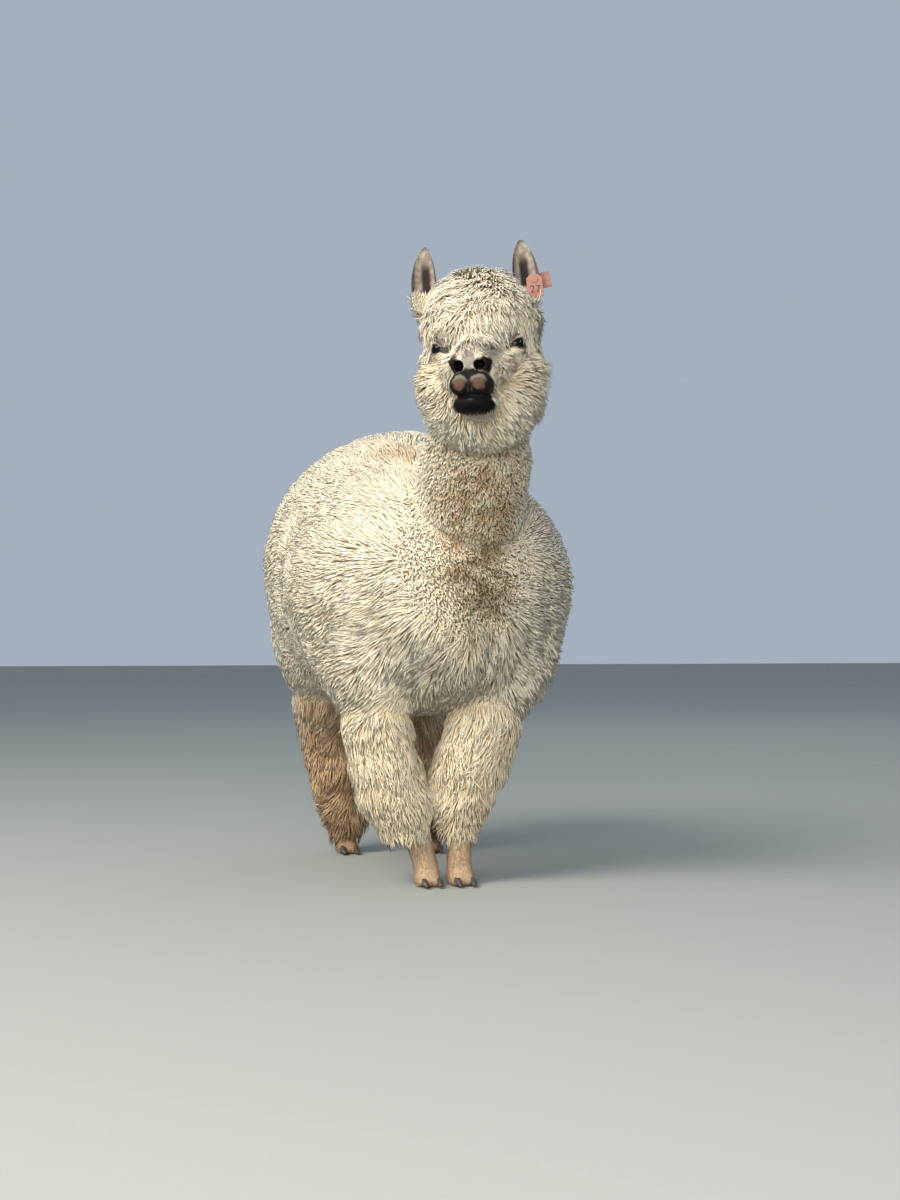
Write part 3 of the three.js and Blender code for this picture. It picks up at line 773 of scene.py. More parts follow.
def build_coat(name, style, at):
    """One piece of coat: the locks with these roots, as a single mesh on the root body."""
    count, rings = len(at), style["rings"]
    spine, width, shade = lock_spines(style, at)
    side = np.cross(outward[at], lie[at])
    ahead = unit(np.gradient(spine, axis=1))
    across = unit(side[:, None] - ahead * (side[:, None] * ahead).sum(-1, keepdims=True))
    over = np.cross(ahead, across)
    share = np.linspace(0, 1, rings + 1)[None, :-1, None]
    thick = (0.75 + 0.5 * share) * (1 - style["point"] * share**1.3) * (1 - share**5)
    wide = width[:, None] / 2 * thick
    edges = []
    for k in range(SIDES):
        turn = math.pi / 2 + 2 * math.pi * k / SIDES
        aside = across[:, :-1] * wide * math.cos(turn)
        edges.append(spine[:, :-1] + aside + over[:, :-1] * wide * FLAT * math.sin(turn))
    body = np.stack(edges, 2).reshape(count, rings * SIDES, 3)
    verts = np.concatenate([body, spine[:, -1:]], 1)
    verts[..., 2] = np.maximum(verts[..., 2], 0)
    each = verts.shape[1]
    quads, fans = lock_faces(rings, count)
    mesh = bpy.data.meshes.new(name)
    mesh.vertices.add(count * each)
    mesh.vertices.foreach_set("co", verts.ravel())
    loops = np.concatenate([quads.ravel(), fans.ravel()])
    mesh.loops.add(len(loops))
    mesh.loops.foreach_set("vertex_index", loops)
    starts = np.concatenate([np.arange(len(quads)) * 4, len(quads) * 4 + np.arange(len(fans)) * 3])
    mesh.polygons.add(len(starts))
    mesh.polygons.foreach_set("loop_start", starts)
    mesh.update(calc_edges=True)
    mesh.shade_smooth()
    along_each = np.append(np.repeat(np.arange(rings) / rings, SIDES), 1.0)
    across_each = np.append(np.tile(np.arange(SIDES) / (SIDES - 1), rings), 0.5)
    store(mesh, "tip", np.tile(along_each, count))
    store(mesh, "own", np.repeat(shade, each))
    store(mesh, "root", np.repeat(roots[at], each, axis=0))
    store(mesh, "lay", np.repeat(outward[at], each, axis=0))
    for key, values in (("ear_across", ear_across), ("ear_up", ear_up), ("ear_inside", ear_inside)):
        store(mesh, key, np.repeat(values[at], each))
    patch = np.stack([across_each - 0.5, along_each - 0.5], 1) * PATCH
    uv = (unwrap(roots[at], owner[at])[:, None] + patch[None]).reshape(-1, 2)[loops]
    layer = mesh.uv_layers.new(name="OFBake")
    layer.data.foreach_set("uv", uv.ravel().astype(np.float32))
    coat = bpy.data.objects.new(name, mesh)
    bpy.context.collection.objects.link(coat)
    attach(coat, "root")
    return coat


coats = []
for kind, sizes in STYLES.items():
    style = dict(zip(LOCK, sizes))
    mine = np.flatnonzero(part == kind)
    mine = mine[thin_out(roots[mine], style["spacing"])]
    mine = mine[np.argsort(roots[mine][:, 1])]
    pieces = max(1, math.ceil(len(mine) / PIECE_LOCKS))
    for i, group in enumerate(np.array_split(mine, pieces)):
        coats.append(build_coat(f"coat_{kind}_{i + 1}", style, group))

# ---- Markings ----
# Cream wool with tan and brown stains, some patches of painted shade, and a black and brown muzzle. One
# shader group gives the colour of skin and coat alike, from soft-edged patches, and reads each lock's place
# at its root, so that a lock keeps one colour.

CREAM = (0.88, 0.785, 0.60)
WARM_CREAM = (0.80, 0.66, 0.46)
TAN = (0.50, 0.34, 0.20)
ROSY = (0.56, 0.38, 0.27)
DARK_SKIN = (0.009, 0.007, 0.006)
LIP_BROWN = (0.095, 0.053, 0.036)
PALE_SKIN = (0.19, 0.172, 0.155)
EAR_GREY = (0.20, 0.165, 0.135)
FRONT_TAN = (0.92, 0.74, 0.50)
HIND_DARK = (0.34, 0.19, 0.10)
HIND_PALE = (0.68, 0.46, 0.27)
PASTERN = (0.30, 0.19, 0.11)
SPECK = (0.10, 0.07, 0.045)
FACE_WHITE = (0.45, 0.41, 0.345)
EYE_GREY_AND_SHADE = (0.13, 0.12, 0.118)


class Board:
    """Short ways to lay out shader nodes in one tree."""

    def __init__(self, tree):
        self.tree = tree

    def add(self, kind, **settings):
        node = self.tree.nodes.new(kind)
        for name, value in settings.items():
            setattr(node, name, value)
        return node

    def put(self, socket, value):
        if isinstance(value, bpy.types.NodeSocket):
            self.tree.links.new(value, socket)
        else:
            socket.default_value = value

    def math(self, operation, a, b=0.0):
        node = self.add("ShaderNodeMath", operation=operation)
        self.put(node.inputs[0], a)
        self.put(node.inputs[1], b)
        return node.outputs[0]

    def times(self, a, b):
        return self.math("MULTIPLY", a, b)

    def vector(self, operation, a, b=(0, 0, 0)):
        node = self.add("ShaderNodeVectorMath", operation=operation)
        self.put(node.inputs[0], a)
        self.put(node.inputs[1], b)
        return node.outputs["Value" if operation in ("LENGTH", "DOT_PRODUCT") else "Vector"]

    def span(self, value, low, high):
        """0 below low, 1 above high, smooth between them; falls instead where low is above high."""
        node = self.add("ShaderNodeMapRange", interpolation_type="SMOOTHSTEP")
        self.put(node.inputs["Value"], value)
        node.inputs["From Min"].default_value = min(low, high)
        node.inputs["From Max"].default_value = max(low, high)
        node.inputs["To Min"].default_value = 0.0 if low < high else 1.0
        node.inputs["To Max"].default_value = 1.0 if low < high else 0.0
        return node.outputs["Result"]

    def noise(self, coords, scale, detail=2.0):
        node = self.add("ShaderNodeTexNoise")
        self.put(node.inputs["Vector"], coords)
        node.inputs["Scale"].default_value = scale
        node.inputs["Detail"].default_value = detail
        return node.outputs["Fac"]

    def tint(self, under, colour, mask):
        node = self.add("ShaderNodeMix", data_type="RGBA")
        self.put(node.inputs["Factor"], mask)
        self.put(node.inputs["A"], under if isinstance(under, bpy.types.NodeSocket) else (*under, 1))
        self.put(node.inputs["B"], colour if isinstance(colour, bpy.types.NodeSocket) else (*colour, 1))
        return node.outputs["Result"]

    def attribute(self, name):
        return self.add("ShaderNodeAttribute", attribute_name=name).outputs["Fac"]

    def stray(self, coords, scale, amount, over=None):
        """The same coordinates, pushed about by a soft noise, so that edges drawn with them wander."""
        node = self.add("ShaderNodeTexNoise")
        self.put(node.inputs["Vector"], over or coords)
        node.inputs["Scale"].default_value = scale
        node.inputs["Detail"].default_value = 3
        centred = self.vector("SUBTRACT", node.outputs["Color"], (0.5, 0.5, 0.5))
        return self.vector("ADD", coords, self.vector("MULTIPLY", centred, (amount, amount, amount)))

    def patch(self, coords, at, reach, soft=0.5):
        """1 inside an ellipsoid, 0 outside, over an edge that is this share of its radius."""
        away = self.vector("DIVIDE", self.vector("SUBTRACT", coords, at), reach)
        return self.span(self.vector("LENGTH", away), 1.0, 1.0 - soft)


markings = bpy.data.node_groups.new("alpaca_markings", "ShaderNodeTree")
markings.interface.new_socket("Colour", in_out="OUTPUT", socket_type="NodeSocketColor")
markings.interface.new_socket("Bare", in_out="OUTPUT", socket_type="NodeSocketFloat")
b = Board(markings)
place = b.add("ShaderNodeAttribute", attribute_name="root").outputs["Vector"]
xyz = b.add("ShaderNodeSeparateXYZ")
b.put(xyz.inputs[0], place)
loose = b.stray(place, 26, 0.07)

# Body: cream, warmer in clouds, with tan and rosy stains, painted shade on the lower neck and under the ruff,
# and fine dark specks of dust.
clouds = b.span(b.noise(place, 7, 4), 0.48, 0.72)
colour = b.tint(CREAM, WARM_CREAM, b.times(clouds, 0.55))
stain = b.span(b.noise(place, 38, 3), 0.36, 0.62)
for at, reach, paint, amount in (
    ((0.020, -0.36, 0.70), (0.105, 0.19, 0.27), (0.42, 0.295, 0.17), 0.95),
    # darker brown at the foot of the neck: partly its tan, partly painted shade
    ((0.042, -0.38, 0.585), (0.09, 0.17, 0.13), (0.17, 0.135, 0.075), 0.8),
    # painted shadow of the ruff on the neck below it
    ((0.0, -0.36, 0.865), (0.12, 0.13, 0.05), (0.20, 0.165, 0.105), 0.85),
    ((-0.094, 0.20, 0.89), (0.05, 0.13, 0.08), ROSY, 0.85),
    ((-0.05, -0.07, 0.845), (0.06, 0.10, 0.06), TAN, 0.6),
):
    mask = b.times(b.patch(loose, at, reach, 0.6), b.math("ADD", b.times(stain, 0.6), 0.4))
    colour = b.tint(colour, paint, b.times(mask, amount))

# Legs: orange tan in front, brown behind, darker at the pasterns.
behind = b.span(xyz.outputs["Y"], 0.05, 0.14)
on_leg = b.span(b.math("ADD", xyz.outputs["Z"], b.times(stain, 0.05)), 0.44, 0.30)
pastern = b.span(xyz.outputs["Z"], 0.12, 0.07)
specks = b.span(b.noise(place, 150, 1), 0.76, 0.80)
front_tan = b.tint(colour, FRONT_TAN, b.times(on_leg, 0.75))
hind_brown = b.tint(colour, b.tint(HIND_DARK, HIND_PALE, stain), b.times(on_leg, 0.9))
colour = b.tint(front_tan, hind_brown, behind)
colour = b.tint(colour, PASTERN, b.times(pastern, 0.8))
colour = b.tint(colour, SPECK, b.times(specks, 0.7))

# Head: in its own axes, in millimetres, folded over so that left and right match.
turned = b.add("ShaderNodeCombineXYZ")
from_middle = b.vector("SUBTRACT", place, tuple(head_at))
for socket, axis in zip(("X", "Y", "Z"), (head_x, head_y, head_z)):
    metres = b.vector("DOT_PRODUCT", from_middle, tuple(axis))
    b.put(turned.inputs[socket], b.times(metres, 1000.0))
head_mm = turned.outputs[0]
head_xyz = b.add("ShaderNodeSeparateXYZ")
b.put(head_xyz.inputs[0], head_mm)
folded = b.add("ShaderNodeCombineXYZ")
nose_shift = b.times(b.span(head_xyz.outputs["Y"], -84, -132), NOSE_TURN)
b.put(folded.inputs["X"], b.math("ABSOLUTE", b.math("ADD", head_xyz.outputs["X"], nose_shift)))
b.put(folded.inputs["Y"], head_xyz.outputs["Y"])
b.put(folded.inputs["Z"], head_xyz.outputs["Z"])
folded = folded.outputs[0]
rough_edge = b.stray(folded, 0.09, 14, head_mm)
for at, reach, paint, amount in (
    ((62, -50, -60), (30, 40, 34), (0.60, 0.38, 0.24), 0.85),
    ((80, -10, -50), (30, 40, 50), (0.62, 0.45, 0.30), 0.7),
    ((40, -60, -120), (50, 50, 30), (0.50, 0.40, 0.25), 0.6),
):
    mask = b.times(b.patch(rough_edge, at, reach, 0.8), stain)
    colour = b.tint(colour, paint, b.times(mask, amount))
smudge = b.patch(rough_edge, (40, 20, 100), (24, 40, 16), 0.8)
smudge = b.times(smudge, b.span(head_xyz.outputs["X"], 4, -4))
colour = b.tint(colour, (0.46, 0.29, 0.18), b.times(b.times(smudge, stain), 0.9))


def beside_eye(out, back, up):
    """A place this far from the middle of an eye, in the folded head's axes."""
    return tuple(float(v) for v in eye_mm + [out, back, up])


# Short hair of the face: whiter, with dark speckles over the bridge, and bluish grey skin round the eyes,
# darkened further as painted shade of the fringe, and a painted shadow of the brow wool above each eye.
face = b.patch(rough_edge, (0, -72, -36), (58, 62, 56), 0.35)
colour = b.tint(colour, FACE_WHITE, b.times(face, 0.8))
speckle = b.span(b.noise(head_mm, 0.17, 2), 0.53, 0.59)
bridge = b.patch(rough_edge, (0, -96, -14), (44, 62, 36), 0.3)
colour = b.tint(colour, (0.15, 0.105, 0.085), b.times(b.times(bridge, speckle), 0.9))
flare = b.patch(rough_edge, (26, -112, -32), (19, 28, 22), 0.45)
mostly = b.span(b.noise(head_mm, 0.2, 3), 0.30, 0.46)
on_right = b.span(head_xyz.outputs["X"], 14, -14)
colour = b.tint(colour, (0.10, 0.065, 0.05), b.times(b.times(flare, mostly), on_right))
# bluish grey skin round the eye, darkened further as painted shade of the fringe
round_eye_grey_and_shade = b.patch(rough_edge, beside_eye(0, 0, 6), (27, 27, 24), 0.4)
colour = b.tint(colour, EYE_GREY_AND_SHADE, b.times(round_eye_grey_and_shade, 0.8))
# painted shadow of the brow wool over each eye
painted_brow_shadow = b.patch(rough_edge, beside_eye(2, 2, 20), (26, 26, 12), 0.6)
colour = b.tint(colour, (0.16, 0.145, 0.135), b.times(painted_brow_shadow, 0.6))
inner_corner = b.patch(rough_edge, beside_eye(-10, -14, -4), (14, 18, 8), 0.4)
colour = b.tint(colour, (0.025, 0.02, 0.02), b.times(inner_corner, 0.9))
rim = b.patch(folded, beside_eye(9, -8, 2), (20, 20, 15), 0.25)
colour = b.tint(colour, (0.02, 0.017, 0.016), b.times(rim, 0.9))

# Muzzle: black skin round the nostrils, sides and mouth; a pale ridge; brown lip pads with pale rims.
dark = b.patch(rough_edge, (0, -124, -88), (50, 44, 40), 0.2)
dark = b.math("MAXIMUM", dark, b.patch(rough_edge, (30, -124, -49), (19, 28, 20), 0.4))
ridge = b.patch(folded, (0, -134, -38), (15, 30, 22), 0.45)
bare_skin = b.math("MAXIMUM", dark, b.patch(rough_edge, (0, -132, -66), (44, 30, 40), 0.25))
colour = b.tint(colour, DARK_SKIN, dark)
colour = b.tint(colour, PALE_SKIN, b.times(ridge, 0.9))
pad_rim = b.patch(rough_edge, (17, -139, -78), (17, 20, 16), 0.3)
pad = b.patch(rough_edge, (17.5, -139, -82), (13, 20, 14), 0.5)
above_pad = b.span(head_xyz.outputs["Z"], -82, -70)
colour = b.tint(colour, PALE_SKIN, b.times(b.times(pad_rim, above_pad), 0.75))
colour = b.tint(colour, LIP_BROWN, pad)
beside_split = b.patch(folded, (3.0, -140, -93), (2.6, 14, 8), 0.6)
colour = b.tint(colour, PALE_SKIN, b.times(beside_split, 0.2))
lower_lip = b.patch(folded, (0, -130, -116), (44, 60, 17), 0.12)
colour = b.tint(colour, (0.005, 0.004, 0.004), lower_lip)
lower_rim = b.patch(folded, (0, -140, -108), (10, 10, 3), 0.7)
colour = b.tint(colour, (0.07, 0.055, 0.05), b.times(lower_rim, 0.7))
# painted shade under the chin
painted_chin_shade = b.patch(rough_edge, (2, -70, -145), (44, 64, 32), 0.4)
colour = b.tint(colour, (0.30, 0.27, 0.18), b.times(painted_chin_shade, 0.5))
# near-black painted shade in the sunken nostrils, lip split and mouth
colour = b.tint(colour, (0.0015, 0.001, 0.001), b.attribute("pit_shade"))

# Ears: grey brown, with dark rims, a painted shadow darkening the groove inside to black, and paler hair
# beside it.
up = b.attribute("ear_up")
across = b.attribute("ear_across")
inside = b.attribute("ear_inside")
on_ear = b.span(up, 0.27, 0.36)
pale_hair = b.times(inside, b.span(b.noise(place, 90, 3), 0.4, 0.65))
ear = b.tint(EAR_GREY, (0.31, 0.27, 0.225), pale_hair)
# painted shadow: the hollow groove inside the ear, near black
painted_groove_shadow = b.times(b.times(b.span(across, 0.55, 0.2), b.span(up, 0.86, 0.62)), inside)
ear = b.tint(ear, (0.025, 0.019, 0.017), painted_groove_shadow)
ear = b.tint(ear, (0.065, 0.052, 0.056), b.times(b.span(across, 0.72, 0.86), 0.85))
ear = b.tint(ear, (0.10, 0.08, 0.08), b.span(up, 0.9, 1.0))
colour = b.tint(colour, ear, on_ear)
ends = b.add("NodeGroupOutput")
b.put(ends.inputs["Colour"], colour)
b.put(ends.inputs["Bare"], bare_skin)


def new_paint(name):
    paint = bpy.data.materials.new(name)
    paint.use_nodes = True
    return paint, Board(paint.node_tree), paint.node_tree.nodes["Principled BSDF"]


# Skin: matt, finely wrinkled and pored, glossier where it is bare, and black in the nostrils and mouth, where
# near-black painted shade fills the recesses.
skin_paint, b, shader = new_paint("alpaca_skin")
marked = b.add("ShaderNodeGroup", node_tree=markings)
b.put(shader.inputs["Base Color"], marked.outputs["Colour"])
b.put(shader.inputs["Roughness"], b.math("SUBTRACT", 0.8, b.times(marked.outputs["Bare"], 0.28)))
shader.inputs["Specular IOR Level"].default_value = 0.07
place = b.add("ShaderNodeTexCoord").outputs["Object"]
pores = b.add("ShaderNodeBump")
pores.inputs["Strength"].default_value = 0.5
pores.inputs["Distance"].default_value = 0.0012
cracks = b.add("ShaderNodeTexVoronoi")
b.put(cracks.inputs["Vector"], place)
cracks.inputs["Scale"].default_value = 420
b.put(pores.inputs["Height"], b.math("ADD", cracks.outputs["Distance"], b.noise(place, 900, 3)))
b.put(shader.inputs["Normal"], pores.outputs["Normal"])
skin.data.materials.clear()
skin.data.materials.append(skin_paint)
skin_mm = in_head(skin_points) * 1000
# Depth below the uncut muzzle near the nose, painted as near-black shade in the recesses.
pit_shade_depth = np.clip((-face_form(skin_mm, cut=False) - 1.2) / 3.5, 0, 1)
store(skin.data, "pit_shade", pit_shade_depth * (skin_mm[:, 1] < -80) * (np.abs(skin_mm[:, 0]) < 60))
store(skin.data, "root", skin_points)
for name, values in zip(("ear_across", "ear_up", "ear_inside"), ear_places(skin_points, point_normals)):
    store(skin.data, name, values)

# Wool: painted darker and warmer at the root as shade deep in the fleece, paler and softer towards the tip,
# and lit mostly as the skin under it would be, with a little light passing through, so that thousands of thin
# locks look like one soft fleece.
wool_paint, b, shader = new_paint("alpaca_wool")
marked = b.add("ShaderNodeGroup", node_tree=markings)
tip, own = b.attribute("tip"), b.attribute("own")
# painted shade deep in the fleece: darker and warmer towards the root
root_shade_by_height = b.math("ADD", 0.92, b.times(tip, 0.10))
by_lock = b.math("ADD", 0.88, b.times(own, 0.22))
warm_root_shade = b.vector("MULTIPLY", marked.outputs["Colour"], (0.86, 0.72, 0.54))
tone = b.add("ShaderNodeVectorMath", operation="SCALE")
b.put(tone.inputs[0], b.tint(warm_root_shade, marked.outputs["Colour"], b.span(tip, 0.0, 0.75)))
b.put(tone.inputs["Scale"], b.times(root_shade_by_height, by_lock))
b.put(shader.inputs["Base Color"], tone.outputs["Vector"])
shader.inputs["Roughness"].default_value = 0.9
shader.inputs["Specular IOR Level"].default_value = 0.2
shader.inputs["Sheen Weight"].default_value = 0.15
shader.inputs["Subsurface Weight"].default_value = 0.35
shader.inputs["Subsurface Radius"].default_value = (1.0, 0.95, 0.9)
shader.inputs["Subsurface Scale"].default_value = 0.002
shader.inputs["Sheen Roughness"].default_value = 0.4
place = b.add("ShaderNodeTexCoord").outputs["Object"]
fibres = b.add("ShaderNodeBump")
fibres.inputs["Strength"].default_value = 0.6
fibres.inputs["Distance"].default_value = 0.0008
b.put(fibres.inputs["Height"], b.noise(place, 1100, 2))
SKIN_SHARE = 0.78  # of the normal
own_turn = b.vector("MULTIPLY", fibres.outputs["Normal"], (1 - SKIN_SHARE,) * 3)
lay = b.add("ShaderNodeAttribute", attribute_name="lay").outputs["Vector"]
softened = b.vector("ADD", b.vector("MULTIPLY", lay, (SKIN_SHARE,) * 3), own_turn)
b.put(shader.inputs["Normal"], b.vector("NORMALIZE", softened))
for coat in coats:
    coat.data.materials.append(wool_paint)

# ---- Eyes ----
# Each eye is a wet globe that sits behind its lids, with a raised cornea, a very dark iris with fine streaks,
# and a pupil that is a level oval.

IRIS = 12.6
PUPIL = (7.4, 3.9, 9)
EYE_RINGS, EYE_SIDES = 34, 44
CORNEA = {"raised": 1.1, "reach": 40}  # millimetres, degrees
eye_paint, b, shader = new_paint("alpaca_eye")
level, height = b.attribute("eye_across"), b.attribute("eye_above")
spot = b.add("ShaderNodeCombineXYZ")
b.put(spot.inputs["X"], level)
b.put(spot.inputs["Y"], height)
spot = spot.outputs[0]
angle = b.math("ARCTAN2", height, level)
streak = b.add("ShaderNodeCombineXYZ")
b.put(streak.inputs["X"], b.times(angle, 9.0))
b.put(streak.inputs["Y"], b.times(b.vector("LENGTH", spot), 0.12))
streaks = b.span(b.noise(streak.outputs[0], 1.6, 3), 0.42, 0.62)
iris = b.tint((0.003, 0.002, 0.002), (0.012, 0.007, 0.005), streaks)
colour = b.tint((0.009, 0.007, 0.007), iris, b.patch(spot, (0, 0, 0), (IRIS,) * 3, 0.1))
colour = b.tint(colour, (0.002, 0.002, 0.003), b.patch(spot, (0, 0.4, 0), PUPIL, 0.12))
b.put(shader.inputs["Base Color"], colour)
shader.inputs["Roughness"].default_value = 0.05
shader.inputs["Specular IOR Level"].default_value = 0.2
shader.inputs["IOR"].default_value = 1.38
for side, node in ((1, "eye_left"), (-1, "eye_right")):
    ahead, across, above_axis = eye_axes(side)
    tilt = np.linspace(0, math.pi, EYE_RINGS)[:, None]
    turn = (np.arange(EYE_SIDES) * 2 * math.pi / EYE_SIDES)[None, :]
    radius = 1000 * eye_radius - 0.1 + CORNEA["raised"] * (1 - ramp(np.degrees(tilt), 0, CORNEA["reach"]))
    flat = np.sin(tilt) * radius
    shape = (np.cos(tilt) * radius)[..., None] * ahead
    shape = shape + (flat * np.cos(turn))[..., None] * across + (flat * np.sin(turn))[..., None] * above_axis
    places = from_head((shape + eye_mm * (side, 1, 1)) / 1000)
    made = bmesh.new()
    front = made.verts.new(places[0, 0])
    rings = [[made.verts.new(p) for p in row] for row in places[1:-1]]
    back = made.verts.new(places[-1, 0])
    for k in range(EYE_SIDES):
        n = (k + 1) % EYE_SIDES
        made.faces.new((front, rings[0][k], rings[0][n]))
        made.faces.new((back, rings[-1][n], rings[-1][k]))
        for lower_ring, upper_ring in zip(rings, rings[1:]):
            made.faces.new((lower_ring[k], upper_ring[k], upper_ring[n], lower_ring[n]))
    bmesh.ops.recalc_face_normals(made, faces=made.faces)
    globe_mesh = bpy.data.meshes.new(node + "_globe")
    made.to_mesh(globe_mesh)
    made.free()
    globe_mesh.shade_smooth()
    away = in_head(points_of(globe_mesh)) * 1000 - eye_mm * (side, 1, 1)
    store(globe_mesh, "eye_across", away @ across)
    store(globe_mesh, "eye_above", away @ above_axis)
    globe_mesh.materials.append(eye_paint)
    globe = bpy.data.objects.new(node + "_globe", globe_mesh)
    bpy.context.collection.objects.link(globe)
    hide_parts(node)
    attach(globe, "root")

# ---- Lashes ----
# Pale hairs stand in one row along the edge of each upper lid. They rise, curl out over the eye and thin to
# a point.

LASHES = {"count": 60, "spread": 16.5, "long": 8.0, "thick": 0.3, "fine": 0.05, "off_lid": 0.7}  # millimetres
LASH_STEPS = 5
lash_paint, b, shader = new_paint("lash_hair")
place = b.add("ShaderNodeTexCoord").outputs["Object"]
b.put(shader.inputs["Base Color"], b.tint((0.55, 0.49, 0.40), (0.74, 0.68, 0.58), b.noise(place, 700, 2)))
shader.inputs["Roughness"].default_value = 0.6
for side, hand in ((1, "left"), (-1, "right")):
    ahead, across, above_axis = eye_axes(side)
    radius = 1000 * eye_radius
    lash_points, lash_faces = [], []
    spread = np.linspace(-LASHES["spread"], LASHES["spread"], LASHES["count"])
    for turn in spread + rng.normal(0, 0.25, LASHES["count"]):
        open_share = max(0, 1 - (turn / SLIT["half_width"]) ** 2)
        lid_edge = SLIT["half_height"] * open_share ** SLIT["fullness"] + LASHES["off_lid"]
        lift = SLIT["middle"] - SLIT["slant"] * turn + lid_edge
        out = ahead * math.cos(turn / radius) + across * math.sin(turn / radius)
        out = out * math.cos(lift / radius) + above_axis * math.sin(lift / radius)
        grow = unit(out * 0.8 + above_axis * 0.75 + across * turn * 0.022)
        droop = above_axis * -0.25
        long = LASHES["long"] * rng.normal(1, 0.15) * (0.6 + 0.4 * open_share)
        aside = unit(np.cross(grow, above_axis))
        for step in range(LASH_STEPS):
            share = step / LASH_STEPS
            spot = eye_mm * (side, 1, 1) + out * (radius + 1.0)
            spot = spot + grow * long * share + droop * long * share**2 * 0.6
            thick = LASHES["thick"] * (1 - share) + LASHES["fine"]
            first = len(lash_points)
            for k in range(3):
                round_turn = 2 * math.pi * k / 3
                ring_way = aside * math.cos(round_turn) + np.cross(grow, aside) * math.sin(round_turn)
                lash_points.append(spot + ring_way * thick)
                n = (k + 1) % 3
                if step < LASH_STEPS - 1:
                    lash_faces.append((first + k, first + n, first + 3 + n, first + 3 + k))
            if step == 0:
                lash_faces.append((first + 2, first + 1, first))
            if step == LASH_STEPS - 1:
                lash_faces.append((first, first + 1, first + 2))
    lash_mesh = bpy.data.meshes.new("lashes_" + hand)
    lash_mesh.from_pydata(from_head(np.array(lash_points) / 1000).tolist(), [], lash_faces)
    lash_mesh.shade_smooth()
    lash_mesh.materials.append(lash_paint)
    lashes = bpy.data.objects.new("lashes_" + hand, lash_mesh)
    bpy.context.collection.objects.link(lashes)
    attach(lashes, "root")

# ---- Nails ----
# Two nails of dark horn on each foot, grown in rings and scuffed pale. They keep the solids' shape, with the
# edges worn round, and rest on the floor.


def worn_copy(node, voxel, passes):
    """A node's own solid remade in fine cells and smoothed, in the node's place."""
    mesh = cad[node].data.copy()
    mesh.materials.clear()
    worn = bpy.data.objects.new(node + "_worn", mesh)
    bpy.context.collection.objects.link(worn)
    merge = worn.modifiers.new("merge", "WELD")
    merge.merge_threshold = 1e-5
    grid = worn.modifiers.new("grid", "REMESH")
    grid.mode = "VOXEL"
    grid.voxel_size = voxel
    smooth_edges = worn.modifiers.new("smooth", "SMOOTH")
    smooth_edges.factor = 0.5
    smooth_edges.iterations = passes
    done = bpy.data.meshes.new_from_object(worn.evaluated_get(bpy.context.evaluated_depsgraph_get()))
    worn.modifiers.clear()
    worn.data = done
    done.shade_smooth()
    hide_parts(node)
    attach(worn, "root")
    return worn


nail_paint, b, shader = new_paint("horn")
place = b.add("ShaderNodeTexCoord").outputs["Object"]
bands = b.add("ShaderNodeTexWave", bands_direction="Y")
b.put(bands.inputs["Vector"], place)
bands.inputs["Scale"].default_value = 140
bands.inputs["Distortion"].default_value = 2.5
bands.inputs["Detail"].default_value = 3
horn = b.tint((0.030, 0.022, 0.018), (0.085, 0.062, 0.048), bands.outputs["Fac"])
horn = b.tint(horn, (0.25, 0.20, 0.15), b.span(b.noise(place, 260, 4), 0.60, 0.74))
b.put(shader.inputs["Base Color"], horn)
b.put(shader.inputs["Roughness"], b.math("ADD", 0.35, b.times(b.noise(place, 400, 2), 0.3)))
ridges = b.add("ShaderNodeBump")
ridges.inputs["Strength"].default_value = 0.6
ridges.inputs["Distance"].default_value = 0.0006
b.put(ridges.inputs["Height"], bands.outputs["Fac"])
b.put(shader.inputs["Normal"], ridges.outputs["Normal"])
for node in cad:
    if node.endswith("_nail"):
        nail = worn_copy(node, 0.0008, 5)
        nail.data.materials.append(nail_paint)

# ---- Ear tag ----
# Two flaps of salmon plastic, faded and scuffed, held through the left ear by a pin under a round boss. The
# front flap carries a plain number in dark print.

NUMBER = {"height": 0.019, "deep": 0.00025, "below_boss": 0.019, "behind_boss": 0.0015}
tag_paint, b, shader = new_paint("weathered_salmon_plastic")
place = b.add("ShaderNodeTexCoord").outputs["Object"]
faded = b.tint((0.25, 0.085, 0.06), (0.30, 0.14, 0.105), b.span(b.noise(place, 45, 3), 0.35, 0.65))
faded = b.tint(faded, (0.28, 0.15, 0.10), b.times(b.span(b.noise(place, 160, 4), 0.56, 0.72), 0.7))
b.put(shader.inputs["Base Color"], faded)
b.put(shader.inputs["Roughness"], b.math("ADD", 0.42, b.times(b.noise(place, 220, 3), 0.3)))
scuffs = b.add("ShaderNodeBump")
scuffs.inputs["Strength"].default_value = 0.35
scuffs.inputs["Distance"].default_value = 0.0005
b.put(scuffs.inputs["Height"], b.noise(place, 700, 4))
b.put(shader.inputs["Normal"], scuffs.outputs["Normal"])
for node in ("ear_tag_front", "ear_tag_back"):
    flap = worn_copy(node, 0.0006, 3)
    flap.data.materials.append(tag_paint)

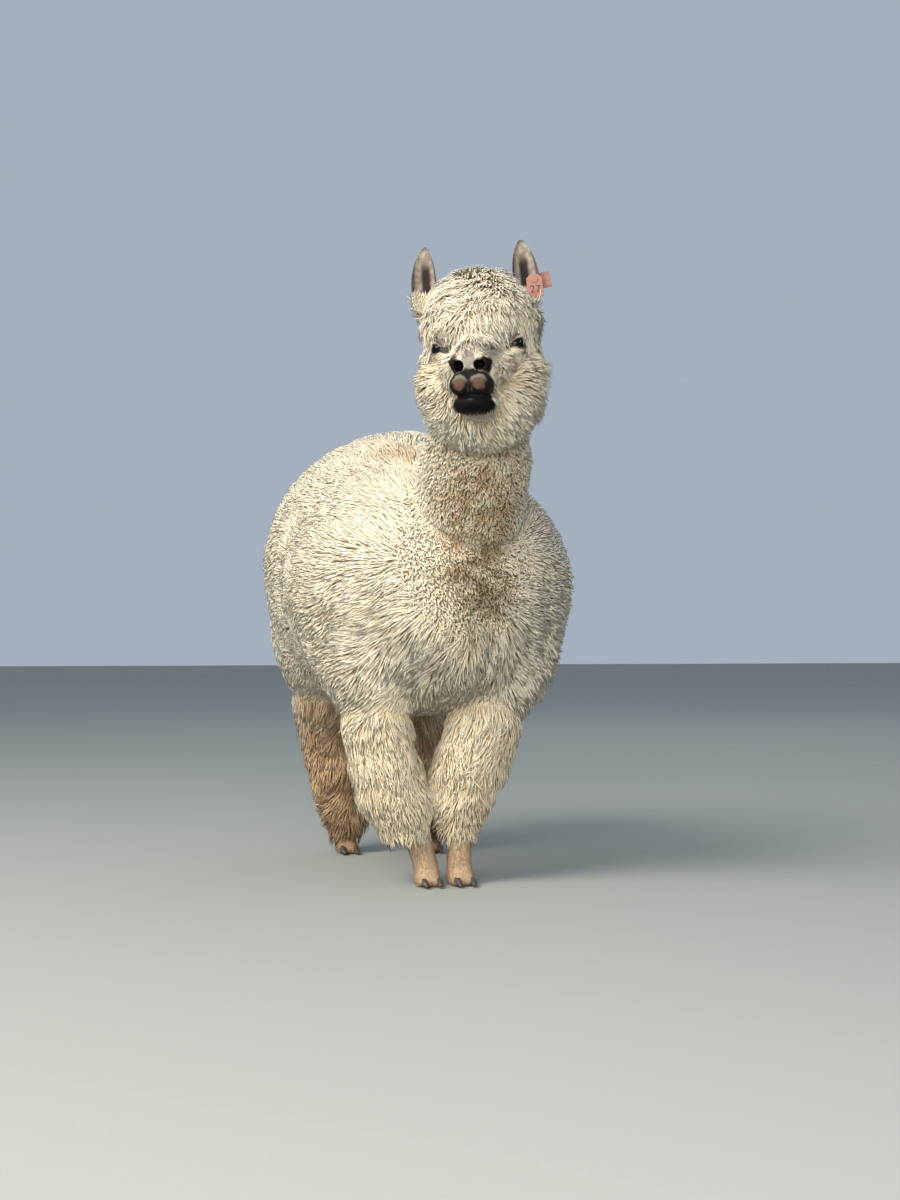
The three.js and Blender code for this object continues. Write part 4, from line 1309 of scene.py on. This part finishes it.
flap_points = points_of(cad["ear_tag_front"].data)
flap_sides = flap_points[triangles_of(cad["ear_tag_front"].data)]
facing = np.cross(flap_sides[:, 1] - flap_sides[:, 0], flap_sides[:, 2] - flap_sides[:, 0])
flap_ahead = unit(facing[np.argmax(np.linalg.norm(facing, axis=1))])
flap_ahead *= -np.sign(flap_ahead[1])
depth = flap_points @ flap_ahead
boss = flap_points[depth > depth.max() - 1e-4].mean(0)
plate_front = flap_points[np.abs(depth - depth.max() + 0.0016) < 1e-4]
away = np.linalg.norm(plate_front - boss, axis=1)
bottom = np.unique(plate_front[away > away.max() - 1e-3].round(4), axis=0).mean(0)
flap_down = bottom - boss
flap_down = unit(flap_down - flap_ahead * (flap_down @ flap_ahead))
letters = bpy.data.curves.new("tag_number", "FONT")
letters.body = "27"
letters.size = NUMBER["height"]
letters.extrude = NUMBER["deep"]
letters.align_x = "CENTER"
letters.align_y = "CENTER"
letters.space_character = 1.1
flat_number = bpy.data.objects.new("flat_number", letters)
bpy.context.collection.objects.link(flat_number)
solid_number = flat_number.evaluated_get(bpy.context.evaluated_depsgraph_get())
number_mesh = bpy.data.meshes.new_from_object(solid_number)
bpy.data.objects.remove(flat_number)
onto_flap = np.eye(4)
onto_flap[:3, 0] = np.cross(-flap_down, flap_ahead)
onto_flap[:3, 1] = -flap_down
onto_flap[:3, 2] = flap_ahead
onto_flap[:3, 3] = boss + flap_down * NUMBER["below_boss"] - flap_ahead * NUMBER["behind_boss"]
number_mesh.transform(Matrix(onto_flap))
ink, b, shader = new_paint("dark_tag_print")
place = b.add("ShaderNodeTexCoord").outputs["Object"]
worn_off = b.span(b.noise(place, 500, 3), 0.45, 0.7)
b.put(shader.inputs["Base Color"], b.tint((0.035, 0.02, 0.018), (0.14, 0.06, 0.045), worn_off))
shader.inputs["Roughness"].default_value = 0.6
number_mesh.materials.clear()
number_mesh.materials.append(ink)
number = bpy.data.objects.new("ear_tag_number", number_mesh)
bpy.context.collection.objects.link(number)
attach(number, "root")

bpy.context.scene.view_settings.view_transform = "Standard"
